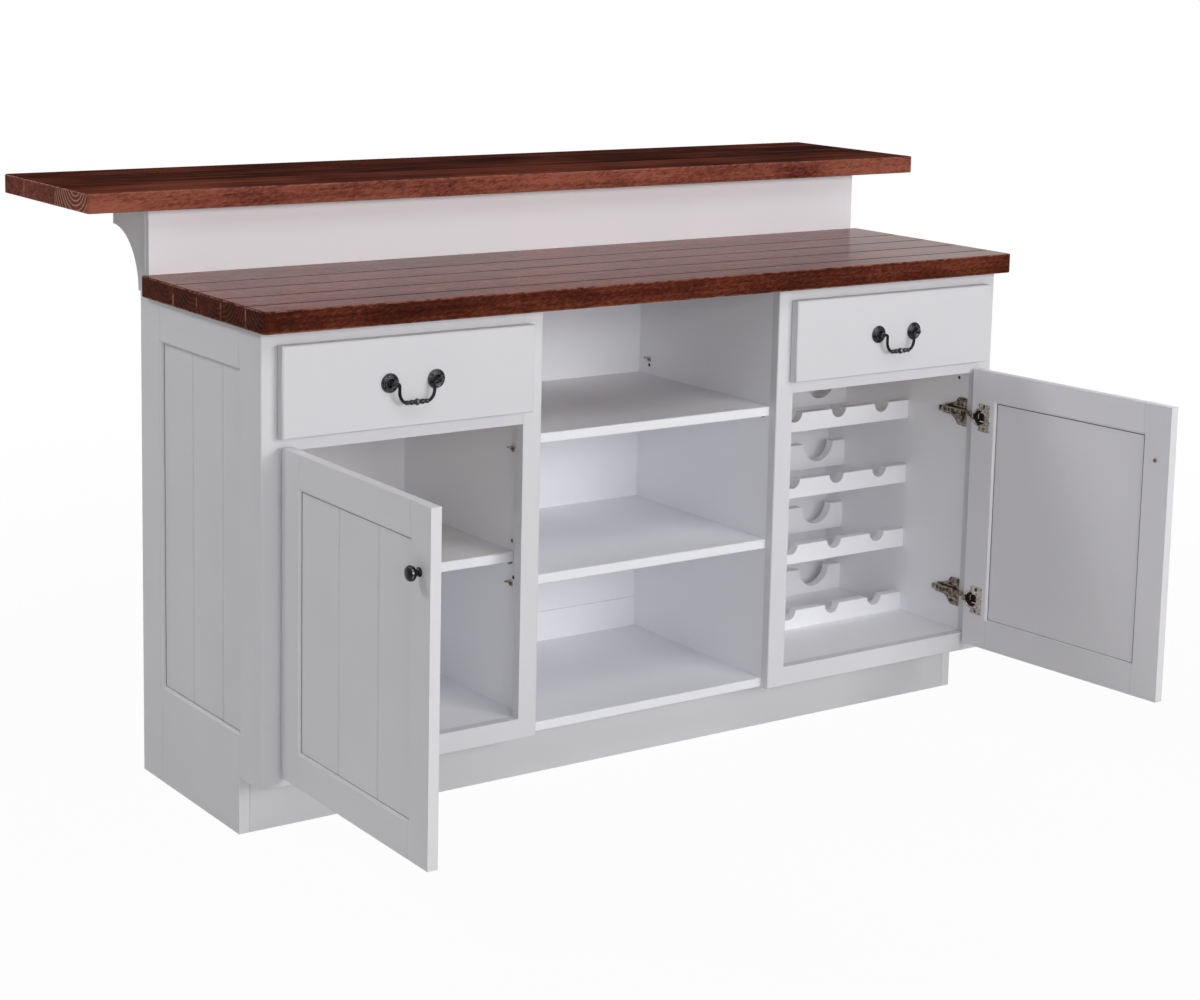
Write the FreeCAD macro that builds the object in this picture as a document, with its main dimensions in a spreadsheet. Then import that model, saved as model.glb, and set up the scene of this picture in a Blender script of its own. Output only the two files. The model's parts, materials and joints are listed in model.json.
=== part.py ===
import FreeCAD, Part
import math
import os
import re

import Sketcher

from FreeCAD import Placement, Rotation, Vector

# Bar counter with a serving side: two cupboards with drawers, an open bay between them,
# a plank worktop and a raised plank bar carried by a knee wall and corbels.
#
# Axes: X along the counter, Y from the serving side (-Y) to the customer side (+Y), Z up.
# The origin is on the floor under the middle of the cabinet.

doc = FreeCAD.newDocument("BarCounter")

# ---------------------------------------------------------------- driving dimensions, mm
SIZES = {
    # cabinet
    "cabinetWidth": 1628,
    "cabinetDepth": 465,
    "cabinetHeight": 876,
    "unitWidth": 549,
    "toeHeight": 101.5,
    "toeDepth": 80,
    "toeBoardThick": 18,
    "sleeperWidth": 38,
    "faceThick": 19.5,
    "stileWidth": 38.5,
    "bottomRail": 38,
    "midRail": 38,
    "topRail": 37.5,
    "faceRound": 3,
    "partitionThick": 19,
    "floorThick": 18,
    "backPanelThick": 6,
    "nailerHeight": 61,
    "nailerThick": 4,
    "stretcherWidth": 80,
    "stretcherThick": 18,
    # framed ends and framed customer side
    "endFrameThick": 20,
    "endStile": 80,
    "endTopRail": 75,
    "endBottomRail": 178,
    "endBoard": 115,
    "rearFrameThick": 19,
    "rearStile": 80,
    "rearBoard": 105,
    "panelRecess": 8,
    "bevel": 4,
    "grooveDepth": 2.5,
    # worktop, knee wall and bar
    "counterThick": 38,
    "counterFront": 33,
    "counterSide": 11,
    "counterFrontPlank": 65,
    "counterPlank": 91.5,
    "kneeWallThick": 29,
    "kneeFaceThick": 10,
    "kneeFaceInset": 3,
    "barHeight": 1067,
    "barThick": 35,
    "barDepth": 385,
    "barFront": 42,
    "barSide": 128,
    "barPlank": 144,
    "cornerRound": 6,
    "kneeWallEase": 2,
    "seamEase": 1.2,
    "corbelReach": 117,
    "corbelNose": 42,
    "corbelRadius": 108,
    "corbelThick": 38,
    # shelves
    "shelfThick": 18.5,
    "shelfEase": 1.5,
    "shelfClear": 0.5,
    "upperShelf": 631,
    "lowerShelf": 374,
    "leftShelf": 412.5,
    "leftShelfSetback": 34.5,
    "pinRadius": 2.5,
    "pinLength": 16,
    "pinDepth": 8,
    "pinFit": 0.05,
    "pinSetback": 6,
    "pinFront": 16,
    "pinBack": 34,
    # bottle rack
    "rackRailThick": 19,
    "frontRailHeight": 38,
    "rearRailHeight": 55,
    "frontRailPlace": 193,
    "rearRailPlace": 388,
    "rackPitch": 136,
    "bottleStep": 114.5,
    "neckRadius": 18.5,
    "bodyRadius": 40,
    # doors
    "doorWidth": 481,
    "doorMargin": 33,
    "doorLapBottom": 18,
    "doorLapTop": 9,
    "doorThick": 19,
    "doorGap": 2.5,
    "doorFrame": 61,
    "doorBoard": 127,
    "doorRecess": 6,
    "doorPanelThick": 8,
    "leftDoorOpen": 90.5,
    "rightDoorOpen": 94.8,
    # concealed hinges
    "hingeFromEnd": 95,
    "pivotInset": 7.5,
    "pivotDepth": 12.5,
    "cupRadius": 17.5,
    "cupInset": 20.5,
    "cupDepth": 16.6,
    "slotClear": 0.5,
    "flangeHeight": 56,
    "flangeReach": 44,
    "flangeThick": 1.5,
    "flangeEdge": 3.5,
    "hookRadius": 15.4,
    "hookThick": 2.8,
    "armHeight": 10,
    "housingHeight": 15,
    "armReach": 72,
    "armHousing": 7,
    "pivotPinRadius": 1.5,
    "pivotPinFit": 0.05,
    "knuckleRadius": 3,
    "plateThick": 2,
    "plateWing": 29,
    # drawers and their runners
    "drawerFrontWidth": 490,
    "drawerFrontHeight": 155,
    "drawerFrontThick": 19,
    "drawerFrontEase": 2.5,
    "drawerOverlay": 14.5,
    "drawerGap": 1.5,
    "boxWall": 12,
    "boxHeight": 100,
    "boxLength": 410,
    "boxLift": 6,
    "boxBottomThick": 6,
    "boxBottomLift": 10,
    "runnerSpace": 12.7,
    "runnerLength": 380,
    "runnerSetback": 2.5,
    "runnerHeight": 45,
    "runnerLift": 42,
    "runnerSkin": 1.4,
    "runnerClear": 0.4,
    # pulls and knobs
    "pullSpacing": 90,
    "rosetteRadius": 17,
    "rosetteThick": 5,
    "rosetteBevel": 3,
    "postRadius": 4.5,
    "postReach": 14,
    "ballRadius": 6.3,
    "ballBevel": 2.5,
    "bailDrop": 36,
    "bailRadius": 2.6,
    "bailBend": 24,
    "bailPinRadius": 2,
    "bailPinFit": 0.08,
    "bailInset": 11,
    "beadRadius": 5,
    "beadLength": 9,
    "beadBevel": 2,
    "knobInset": 31,
    "knobDrop": 104,
    "knobBaseRadius": 7.5,
    "knobBaseThick": 3,
    "knobNeckRadius": 4.5,
    "knobRadius": 15,
    "knobBevel": 4.5,
    "knobHeadThick": 14,
    "knobReach": 27,
}

# ------------------------------------------------- positions worked out from the sizes, mm
# X places are given for the right half; the left half is its mirror image.
LAYOUT = {
    "frontY": "-cabinetDepth / 2",
    "backY": "cabinetDepth / 2",
    "endX": "cabinetWidth / 2",
    "carcassX": "endX - endFrameThick",
    "sideX": "endX - stileWidth",
    "unitX": "endX - unitWidth",
    "partitionX": "unitX + partitionThick",
    "openingX": "unitX + stileWidth",
    "unitMiddleX": "endX - unitWidth / 2",
    "carcassY": "frontY + faceThick",
    "toeY": "frontY + toeDepth",
    "rearFrameY": "backY - rearFrameThick",
    "bayBackY": "rearFrameY - backPanelThick",
    "sideFloorZ": "toeHeight + bottomRail",
    "centreFloorZ": "toeHeight + floorThick",
    "topRailZ": "cabinetHeight - topRail",
    "drawerTopZ": "topRailZ + drawerOverlay",
    "drawerSill": "drawerTopZ - drawerFrontHeight",
    "midRailTopZ": "drawerSill + drawerOverlay",
    "midRailZ": "midRailTopZ - midRail",
    "counterTopZ": "cabinetHeight + counterThick",
    "counterFrontY": "frontY - counterFront",
    "counterX": "endX + counterSide",
    "kneeFaceY": "backY - kneeWallThick",
    "kneeBackY": "kneeFaceY + kneeFaceThick",
    "barUnderZ": "barHeight - barThick",
    "barFrontY": "kneeFaceY - barFront",
    "barX": "endX + barSide",
    "pinFrontY": "carcassY + pinFront",
    "pinBackY": "bayBackY - pinBack",
    "leftShelfY": "carcassY + leftShelfSetback",
    "leftPinY": "leftShelfY + pinSetback",
    "doorEdgeX": "endX - doorMargin",
    "doorBackY": "frontY - doorGap",
    "doorFaceY": "doorBackY - doorThick",
    "doorSill": "sideFloorZ - doorLapBottom",
    "doorTopZ": "midRailZ + doorLapTop",
    "pivotX": "doorEdgeX - pivotInset",
    "pivotY": "doorBackY - pivotDepth",
    "cupX": "doorEdgeX - cupInset",
    "armX": "sideX - plateThick",
    "knobX": "doorEdgeX - doorWidth + knobInset",
    "knobZ": "doorTopZ - knobDrop",
    "drawerBackY": "frontY - drawerGap",
    "drawerFaceY": "drawerBackY - drawerFrontThick",
    "pullY": "drawerFaceY - postReach",
    "pullZ": "drawerTopZ - drawerFrontHeight / 2",
    "boxX": "openingX + runnerSpace",
    "boxOuterX": "sideX - runnerSpace",
    "boxZ": "midRailTopZ + boxLift",
    "runnerY": "carcassY + runnerSetback",
    "runnerZ": "boxZ + runnerLift",
}

sheet = doc.addObject("Spreadsheet::Sheet", "Sizes")
for row, (alias, value) in enumerate(SIZES.items(), start=1):
    sheet.set(f"A{row}", alias)
    sheet.set(f"B{row}", str(value))
    sheet.setAlias(f"B{row}", alias)


def bound(text):
    # Writes an expression's plain names as references to the two sheets.
    def qualify(match):
        word = match.group(0)
        if word in SIZES:
            return f"Sizes.{word}"
        if word in LAYOUT:
            return f"Layout.{word}"
        return word

    return re.sub(r"[A-Za-z]\w*", qualify, text)


layout = doc.addObject("Spreadsheet::Sheet", "Layout")
for row, alias in enumerate(LAYOUT, start=1):
    layout.set(f"A{row}", alias)
    layout.setAlias(f"B{row}", alias)
for row, formula in enumerate(LAYOUT.values(), start=1):
    layout.set(f"B{row}", "=" + bound(formula).replace("Layout.", ""))
doc.recompute()


def size(name):
    # A driving dimension or worked-out position, read from its sheet.
    return float(getattr(sheet if name in SIZES else layout, name))


# ---------------------------------------------------------------------- building helpers
nodes = []


def place(item, x="0", y="0", z="0"):
    # Binds an object's position to expressions.
    for axis, text in zip("xyz", (x, y, z)):
        item.setExpression(f"Placement.Base.{axis}", bound(text))
    return item


def board(name, x, y, z):
    # A plain board given by its lower and upper limits along each axis.
    box = doc.addObject("Part::Box", name)
    for side, (low, high) in zip(("Length", "Width", "Height"), (x, y, z)):
        box.setExpression(side, bound(f"({high}) - ({low})"))
    return place(box, x[0], y[0], z[0])


AXES = {"x": Vector(1, 0, 0), "y": Vector(0, 1, 0), "z": Vector(0, 0, 1)}
FRONTWARD = Vector(0, -1, 0)


def rod(name, radius, length, x, y, z, along="z"):
    # A cylinder that starts at a point and runs along an axis.
    cylinder = doc.addObject("Part::Cylinder", name)
    cylinder.Placement = Placement(Vector(), Rotation(AXES["z"], AXES[along]))
    cylinder.setExpression("Radius", bound(radius))
    cylinder.setExpression("Height", bound(length))
    return place(cylinder, x, y, z)


def turned(name, radius, length, x, y, z, direction, sides=16):
    # A small round piece, given flat sides so that it stays light, that points in a direction.
    prism = doc.addObject("Part::Prism", name)
    prism.Polygon = sides
    prism.setExpression("Circumradius", bound(radius))
    prism.setExpression("Height", bound(length))
    prism.Placement = Placement(Vector(), Rotation(AXES["z"], direction))
    return place(prism, x, y, z)


def group(name, members):
    compound = doc.addObject("Part::Compound", name)
    compound.Links = members
    return compound


def cut(base, tools):
    # Removes the tools from the base.
    result = doc.addObject("Part::Cut", base.Name + "_cut")
    result.Base = base
    result.Tool = tools[0] if len(tools) == 1 else group(base.Name + "_tools", tools)
    return result


def fuse(name, members):
    result = doc.addObject("Part::MultiFuse", name)
    result.Shapes = members
    return result


def mirrored(source):
    # The same piece on the other side of the middle of the counter.
    mirror = doc.addObject("Part::Mirroring", source.Name + "_mirror")
    mirror.Source = source
    mirror.Base = Vector(0, 0, 0)
    mirror.Normal = Vector(1, 0, 0)
    return mirror


def eased(base, amount, choose, kind="Part::Chamfer"):
    # Chamfers or fillets the edges whose bounding boxes a test picks.
    doc.recompute()
    result = doc.addObject(kind, base.Name + "_eased")
    result.Base = base
    edges = enumerate(base.Shape.Edges, start=1)
    result.Edges = [(number, amount, amount) for number, edge in edges if choose(edge.BoundBox)]
    return result


def near(first, second):
    return abs(first - second) < 0.01


def node(name, members, placement=None):
    # One named sub-part: a single solid, or a group of separate solids that share the node.
    doc.recompute()
    if len(members) == 1 and placement is None:
        item = members[0]
    else:
        item = group(name, members)
    item.Label = name
    if placement is not None:
        item.setExpression("Placement", bound(placement))
    nodes.append(item)


def both_sides(name, members):
    node(f"right_{name}", members)
    node(f"left_{name}", [mirrored(member) for member in members])


def origin_plane(body, role):
    return next(item for item in body.Origin.OriginFeatures if item.Role == role)


def new_sketch(body, name, role):
    sketch = body.newObject("Sketcher::SketchObject", name)
    sketch.AttachmentSupport = [(origin_plane(body, role), "")]
    sketch.MapMode = "FlatFace"
    return sketch


def pin_point(sketch, geometry, end, x, y):
    # Holds one end of a sketch line or arc at bound distances from the origin.
    point = sketch.getPoint(geometry, end)
    for kind, start, text in (("DistanceX", point.x, x), ("DistanceY", point.y, y)):
        number = sketch.addConstraint(Sketcher.Constraint(kind, -1, 1, geometry, end, start))
        sketch.setExpression(f"Constraints[{number}]", bound(text))


def outline(sketch, points):
    # A closed polygon through bound points, listed in order.
    count = len(points)
    start = [Vector(10.0 * index, 5.0 * index * index, 0) for index in range(count)]
    for index in range(count):
        sketch.addGeometry(Part.LineSegment(start[index], start[(index + 1) % count]))
    for index in range(count):
        sketch.addConstraint(Sketcher.Constraint("Coincident", index, 2, (index + 1) % count, 1))
    for index, (x, y) in enumerate(points):
        pin_point(sketch, index, 1, x, y)


def pad(body, sketch, length, reverse=False):
    feature = body.newObject("PartDesign::Pad", "Pad")
    feature.Profile = sketch
    feature.setExpression("Length", bound(length))
    feature.Reversed = reverse
    return feature


# ---------------------------------------------------------------------- plinth and carcass
def plinth():
    toe_board = board(
        "toe_board",
        ("-carcassX", "carcassX"),
        ("toeY", "toeY + toeBoardThick"),
        ("0", "toeHeight"),
    )
    node("toe_kick_board", [toe_board])
    partition_middle = "unitX + partitionThick / 2"
    end_middle = "carcassX - sleeperWidth / 2"
    middles = ["0", partition_middle, f"-({partition_middle})", end_middle, f"-({end_middle})"]
    sleepers = []
    for number, middle in enumerate(middles, start=1):
        sleepers.append(board(
            f"sleeper_{number}",
            (f"{middle} - sleeperWidth / 2", f"{middle} + sleeperWidth / 2"),
            ("toeY + toeBoardThick", "rearFrameY"),
            ("0", "toeHeight"),
        ))
    node("base_sleepers", sleepers)


def pin_hole(name, wall_x, direction, pin_y, shelf_z):
    # The blind hole of a shelf pin, bored into the wall just below the shelf.
    start = wall_x if direction > 0 else f"{wall_x} - pinDepth"
    return turned(
        name, "pinRadius + pinFit", "pinDepth",
        start, pin_y, f"{shelf_z} - pinRadius", AXES["x"], sides=8,
    )


def carcass():
    side = board(
        "side", ("sideX", "carcassX"), ("carcassY", "bayBackY"), ("toeHeight", "cabinetHeight")
    )
    rows = {"front": "leftPinY", "back": "pinBackY"}
    side_holes = [pin_hole(f"side_hole_{row}", "-sideX", -1, y, "leftShelf") for row, y in rows.items()]
    node("side_panels", [side, cut(mirrored(side), side_holes)])

    partition = board(
        "partition", ("unitX", "partitionX"), ("carcassY", "bayBackY"), ("toeHeight", "cabinetHeight")
    )
    centre_holes = []
    for shelf in ("upperShelf", "lowerShelf"):
        for pin_y in ("pinFrontY", "pinBackY"):
            centre_holes.append(pin_hole(f"{shelf}_{pin_y}_hole", "unitX", 1, pin_y, shelf))
    drilled = cut(partition, centre_holes)
    bay_holes = [pin_hole(f"bay_hole_{row}", "-partitionX", 1, y, "leftShelf") for row, y in rows.items()]
    node("partitions", [drilled, cut(mirrored(drilled), bay_holes)])

    bay_depth = ("carcassY", "bayBackY")
    side_floor = board(
        "side_floor", ("partitionX", "sideX"), bay_depth, ("sideFloorZ - floorThick", "sideFloorZ")
    )
    both_sides("floor", [side_floor])
    centre_floor = board(
        "bay_floor", ("-unitX", "unitX"), bay_depth, ("toeHeight", "centreFloorZ")
    )
    node("centre_floor", [eased(centre_floor, size("shelfEase"), is_front_edge("carcassY"))])

    joint_x = "unitX + partitionThick / 2"
    height = ("toeHeight", "cabinetHeight")
    thickness = ("bayBackY", "rearFrameY")
    side_back = board("side_back", (joint_x, "carcassX"), thickness, height)
    centre_back = board("centre_back", (f"-({joint_x})", joint_x), thickness, height)
    node("back_panels", [side_back, centre_back, mirrored(side_back)])
    nailer = board(
        "nailer",
        ("-unitX", "unitX"),
        ("bayBackY - nailerThick", "bayBackY"),
        ("centreFloorZ", "centreFloorZ + nailerHeight"),
    )
    node("back_nailer", [nailer])

    across = ("partitionX", "sideX")
    level = ("cabinetHeight - stretcherThick", "cabinetHeight")
    front = board("stretcher_front", across, ("carcassY", "carcassY + stretcherWidth"), level)
    back = board("stretcher_back", across, ("bayBackY - stretcherWidth", "bayBackY"), level)
    node("top_stretchers", [front, back, mirrored(front), mirrored(back)])


def is_front_edge(plane):
    # Picks the edges that run along X in the plane Y = plane.
    def choose(box):
        in_plane = near(box.YMin, size(plane)) and near(box.YMax, size(plane))
        return in_plane and box.XLength > 1 and box.ZLength < 1

    return choose


# ------------------------------------------------------ framed and grooved panelled faces
def bevel_cutter(name, across, up, face, inward):
    # A frustum that bevels the edges of a frame's opening where it meets the frame's face.
    wedge = doc.addObject("Part::Wedge", name)
    if inward > 0:
        depth, growth = (face, f"{face} + bevel"), ("bevel", "0")
    else:
        depth, growth = (f"{face} - bevel", face), ("0", "bevel")
    for side, limit in zip(("min", "max"), depth):
        wedge.setExpression(f"Y{side}", bound(limit))
    for tag, grow in zip(("", "2"), growth):
        for axis, (low, high) in (("X", across), ("Z", up)):
            wedge.setExpression(f"{axis}{tag}min", bound(f"({low}) - {grow}"))
            wedge.setExpression(f"{axis}{tag}max", bound(f"({high}) + {grow}"))
    return wedge


def groove(name, x, y, z):
    # A square bar stood on its corner, which cuts a V-groove where it meets a face.
    bar = doc.addObject("Part::Box", name)
    bar.Placement = Placement(Vector(), Rotation(AXES["z"], 45))
    bar.setExpression("Length", bound("grooveDepth * sqrt(2)"))
    bar.setExpression("Width", bound("grooveDepth * sqrt(2)"))
    bar.setExpression("Height", bound(f"({z[1]}) - ({z[0]})"))
    return place(bar, x, f"({y}) - grooveDepth", z[0])


def framed_ends():
    outer = ("carcassX", "endX")
    back_stile_y = "backY - endStile"
    opening_y = ("toeY", back_stile_y)
    opening_z = ("endBottomRail", "cabinetHeight - endTopRail")
    members = [
        board("end_front_stile", outer, ("carcassY", "toeY"), ("toeHeight", "cabinetHeight")),
        board("end_back_stile", outer, (back_stile_y, "backY"), ("0", "cabinetHeight")),
        board("end_top_rail", outer, opening_y, (opening_z[1], "cabinetHeight")),
        board("end_bottom_rail", outer, opening_y, ("0", opening_z[0])),
    ]
    # The cutter is drawn facing -Y and turned a quarter to face the end of the counter.
    bevel = bevel_cutter("end_bevel", opening_y, opening_z, "-endX", inward=1)
    bevel.Placement = Placement(Vector(), Rotation(AXES["z"], 90))
    both_sides("end_frame", [cut(member, [bevel]) for member in members])

    panel = board("end_board", ("carcassX", "endX - panelRecess"), opening_y, opening_z)
    grooves = []
    for number in (1, 2):
        groove_y = f"{back_stile_y} - {number} * endBoard"
        grooves.append(groove(f"end_groove_{number}", "endX - panelRecess", groove_y, opening_z))
    grooved = cut(panel, grooves)
    node("end_panels", [grooved, mirrored(grooved)])


def framed_rear():
    thickness = ("rearFrameY", "backY")
    low = "endBottomRail"
    high = "cabinetHeight - endTopRail"
    mullion_x = "unitX + partitionThick / 2"
    across = ("-carcassX", "carcassX")
    members = [
        board("rear_bottom_rail", across, thickness, ("0", low)),
        board("rear_top_rail", across, thickness, (high, "cabinetHeight")),
    ]
    stile = board("rear_stile", ("carcassX - rearStile", "carcassX"), thickness, (low, high))
    mullion = board(
        "rear_mullion",
        (f"{mullion_x} - rearStile / 2", f"{mullion_x} + rearStile / 2"),
        thickness,
        (low, high),
    )
    members += [stile, mullion, mirrored(stile), mirrored(mullion)]
    half = f"{mullion_x} - rearStile / 2"
    inner = f"{mullion_x} + rearStile / 2"
    outer = "carcassX - rearStile"
    openings = {
        "centre": (f"-({half})", half),
        "right": (inner, outer),
        "left": (f"-({outer})", f"-({inner})"),
    }
    bevels = []
    panels = []
    for place_name, (left, right) in openings.items():
        opening_z = (low, high)
        bevels.append(bevel_cutter(
            f"rear_bevel_{place_name}", (left, right), opening_z, "backY", inward=-1
        ))
        panel = board(
            f"rear_board_{place_name}", (left, right), ("rearFrameY", "backY - panelRecess"), opening_z
        )
        grooves = []
        for number in (-1, 0, 1):
            groove_x = f"(({left}) + ({right})) / 2 + {number} * rearBoard"
            grooves.append(groove(
                f"rear_groove_{place_name}_{number + 2}", groove_x, "backY - panelRecess", opening_z
            ))
        panels.append(cut(panel, grooves))
    node("rear_frame", [cut(member, bevels) for member in members])
    node("rear_panels", panels)


def face_frames():
    thickness = ("frontY", "carcassY")
    height = ("toeHeight", "cabinetHeight")
    between = ("openingX", "sideX")
    corner = size("faceRound")

    def round_outer(box):
        in_front = near(box.YMin, size("frontY")) and near(box.YMax, size("frontY"))
        at_end = near(box.XMin, size("endX")) or near(box.XMax, size("unitX"))
        at_bottom = near(box.ZMax, size("toeHeight"))
        return in_front and (at_bottom or (at_end and box.ZLength > 1))

    outer_stile = board("face_outer_stile", ("sideX", "endX"), thickness, height)
    inner_stile = board("face_inner_stile", ("unitX", "openingX"), thickness, height)
    bottom_rail = board("face_bottom_rail", between, thickness, ("toeHeight", "sideFloorZ"))
    rounded = [outer_stile, inner_stile, bottom_rail]
    members = [eased(member, corner, round_outer, "Part::Fillet") for member in rounded]
    members.append(board("face_mid_rail", between, thickness, ("midRailZ", "midRailTopZ")))
    members.append(board("face_top_rail", between, thickness, ("topRailZ", "cabinetHeight")))
    both_sides("face_frame", members)


# ------------------------------------------------------------------ knee wall and both tops
def knee_wall():
    height = ("cabinetHeight", "barUnderZ")
    face_x = "endX - kneeFaceInset"
    face = board("knee_face", (f"-({face_x})", face_x), ("kneeFaceY", "kneeBackY"), height)
    node("knee_wall_face", [face])
    back = board("knee_back", ("-endX", "endX"), ("kneeBackY", "backY"), height)

    def front_corner(box):
        return near(box.YMax, size("kneeBackY")) and box.ZLength > 1

    node("knee_wall_back", [eased(back, size("kneeWallEase"), front_corner, "Part::Fillet")])


def corbel(name, x):
    # A bracket with a short upright nose and a concave quarter round below it.
    body = doc.addObject("PartDesign::Body", name)
    sketch = new_sketch(body, f"{name}_profile", "YZ_Plane")
    foot = "corbelReach - corbelRadius"
    bottom = "-corbelNose - corbelRadius"
    nose = ("corbelReach", "-corbelNose")
    corners = [(foot, bottom), ("0", bottom), ("0", "0"), ("corbelReach", "0"), nose]
    reach = size("corbelReach")
    radius = size("corbelRadius")
    drop = size("corbelNose")
    start = [
        Vector(reach - radius, -drop - radius, 0),
        Vector(0, -drop - radius, 0),
        Vector(0, 0, 0),
        Vector(reach, 0, 0),
        Vector(reach, -drop, 0),
    ]
    for index in range(4):
        sketch.addGeometry(Part.LineSegment(start[index], start[index + 1]))
        pin_point(sketch, index, 1, *corners[index])
    pin_point(sketch, 3, 2, *nose)
    for index in range(3):
        sketch.addConstraint(Sketcher.Constraint("Coincident", index, 2, index + 1, 1))
    centre = Vector(reach, -drop - radius, 0)
    quarter = Part.ArcOfCircle(Part.Circle(centre, Vector(0, 0, 1), radius), math.pi / 2, math.pi)
    arc = sketch.addGeometry(quarter)
    sketch.addConstraint(Sketcher.Constraint("Coincident", 3, 2, arc, 1))
    sketch.addConstraint(Sketcher.Constraint("Coincident", 0, 1, arc, 2))
    pin_radius = sketch.addConstraint(Sketcher.Constraint("Radius", arc, radius))
    sketch.setExpression(f"Constraints[{pin_radius}]", bound("corbelRadius"))
    pad(body, sketch, "corbelThick")
    return place(body, x, "backY", "barUnderZ")


def corbels():
    places = {"left": "-endX", "middle": "-corbelThick / 2", "right": "endX - corbelThick"}
    node("corbels", [corbel(f"corbel_{name}", x) for name, x in places.items()])


def plank(name, half_length, y, z, is_front, is_back):
    # One plank of a top, with eased edges; the outermost planks have rounded corners.
    item = board(name, (f"-{half_length}", half_length), y, z)
    doc.recompute()
    box = item.Shape.BoundBox
    outer_sides = [side for side, chosen in ((box.YMin, is_front), (box.YMax, is_back)) if chosen]

    def outer_corner(edge):
        return edge.ZLength > 1 and any(near(edge.YMin, side) for side in outer_sides)

    if outer_sides:
        item = eased(item, size("cornerRound"), outer_corner, "Part::Fillet")
        doc.recompute()

    def top_edge(edge):
        return near(edge.ZMin, box.ZMax)

    return eased(item, size("seamEase"), top_edge)


def tops():
    seams = ["counterFrontY"]
    for number in range(4):
        seams.append(f"counterFrontY + counterFrontPlank + {number} * counterPlank")
    seams.append("kneeFaceY")
    level = ("cabinetHeight", "counterTopZ")
    planks = []
    for number in range(5):
        planks.append(plank(
            f"counter_plank_{number + 1}", "counterX", (seams[number], seams[number + 1]), level,
            is_front=number == 0, is_back=False,
        ))
    node("counter_planks", planks)

    seams = ["barFrontY", "barFrontY + barPlank", "barFrontY + 2 * barPlank", "barFrontY + barDepth"]
    level = ("barUnderZ", "barHeight")
    planks = []
    for number in range(3):
        planks.append(plank(
            f"bar_plank_{number + 1}", "barX", (seams[number], seams[number + 1]), level,
            is_front=number == 0, is_back=number == 2,
        ))
    node("bar_planks", planks)


# ------------------------------------------------------------------------ shelves and rack
def shelves():
    for name, bottom in (("upper_shelf", "upperShelf"), ("lower_shelf", "lowerShelf")):
        shelf = board(
            f"{name}_board",
            ("-unitX + shelfClear", "unitX - shelfClear"),
            ("carcassY", "bayBackY"),
            (bottom, f"{bottom} + shelfThick"),
        )
        node(name, [eased(shelf, size("shelfEase"), is_front_edge("carcassY"))])
    shelf = board(
        "left_shelf_board",
        ("-sideX + shelfClear", "-partitionX - shelfClear"),
        ("leftShelfY", "bayBackY"),
        ("leftShelf", "leftShelf + shelfThick"),
    )
    node("left_shelf", [eased(shelf, size("shelfEase"), is_front_edge("leftShelfY"))])

    pins = []
    for shelf_name in ("upperShelf", "lowerShelf"):
        for pin_y in ("pinFrontY", "pinBackY"):
            pin = turned(
                f"{shelf_name}_{pin_y}", "pinRadius", "pinLength",
                "unitX + pinDepth - pinLength", pin_y, f"{shelf_name} - pinRadius", AXES["x"], sides=8,
            )
            pins += [pin, mirrored(pin)]
    for pin_y in ("leftPinY", "pinBackY"):
        for wall, start in (("side", "-sideX - pinDepth"), ("bay", "-partitionX + pinDepth - pinLength")):
            pins.append(turned(
                f"left_{wall}_{pin_y}", "pinRadius", "pinLength",
                start, pin_y, "leftShelf - pinRadius", AXES["x"], sides=8,
            ))
    node("shelf_pins", pins)


def rack_rail(name, rail_y, rail_z, height, radius):
    # A rail with a row of round notches in its top edge, one for each bottle.
    body = doc.addObject("PartDesign::Body", f"{name}_body")
    length = "sideX - partitionX"
    profile = new_sketch(body, f"{name}_profile", "XZ_Plane")
    outline(profile, [("0", "0"), (length, "0"), (length, height), ("0", height)])
    pad(body, profile, "rackRailThick", reverse=True)
    doc.recompute()
    plain_volume = body.Shape.Volume
    notch = new_sketch(body, f"{name}_notch", "XZ_Plane")
    centre = Vector(size("bottleStep") / 2, size(height), 0)
    circle = notch.addGeometry(Part.Circle(centre, Vector(0, 0, 1), size(radius)))
    pin_point(notch, circle, 3, f"({length} - 3 * bottleStep) / 2", height)
    pin_radius = notch.addConstraint(Sketcher.Constraint("Radius", circle, size(radius)))
    notch.setExpression(f"Constraints[{pin_radius}]", bound(radius))
    pocket = body.newObject("PartDesign::Pocket", "Pocket")
    pocket.Profile = notch
    pocket.Type = "ThroughAll"
    pocket.Midplane = True
    pattern = body.newObject("PartDesign::LinearPattern", "LinearPattern")
    pattern.Originals = [pocket]
    pattern.Direction = (profile, ["H_Axis"])
    pattern.setExpression("Length", bound("3 * bottleStep"))
    pattern.Occurrences = 4
    body.Tip = pattern
    doc.recompute()
    notch_volume = math.pi * size(radius) ** 2 / 2 * size("rackRailThick")
    removed = plain_volume - body.Shape.Volume
    assert abs(removed - 4 * notch_volume) < 1, f"{name}: notches remove {removed:.0f} mm3"
    node(name, [place(body, "partitionX", rail_y, rail_z)])


def bottle_rack():
    for level in range(4):
        base = f"sideFloorZ + {level} * rackPitch"
        number = level + 1
        rack_rail(
            f"rack_front_rail_{number}", "frontY + frontRailPlace", base, "frontRailHeight", "neckRadius"
        )
        rack_rail(
            f"rack_rear_rail_{number}", "frontY + rearRailPlace", base, "rearRailHeight", "bodyRadius"
        )


# ----------------------------------------------------------------- doors and their hinges
DOOR_POSES = {
    "right": "placement(vector(0; 0; 0); rotation(vector(0; 0; 1); rightDoorOpen); "
             "vector(pivotX; pivotY; 0))",
    "left": "placement(vector(0; 0; 0); rotation(vector(0; 0; 1); -leftDoorOpen); "
            "vector(-pivotX; pivotY; 0))",
}
HINGE_LEVELS = {"low": "doorSill + hingeFromEnd", "high": "doorTopZ - hingeFromEnd"}


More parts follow.
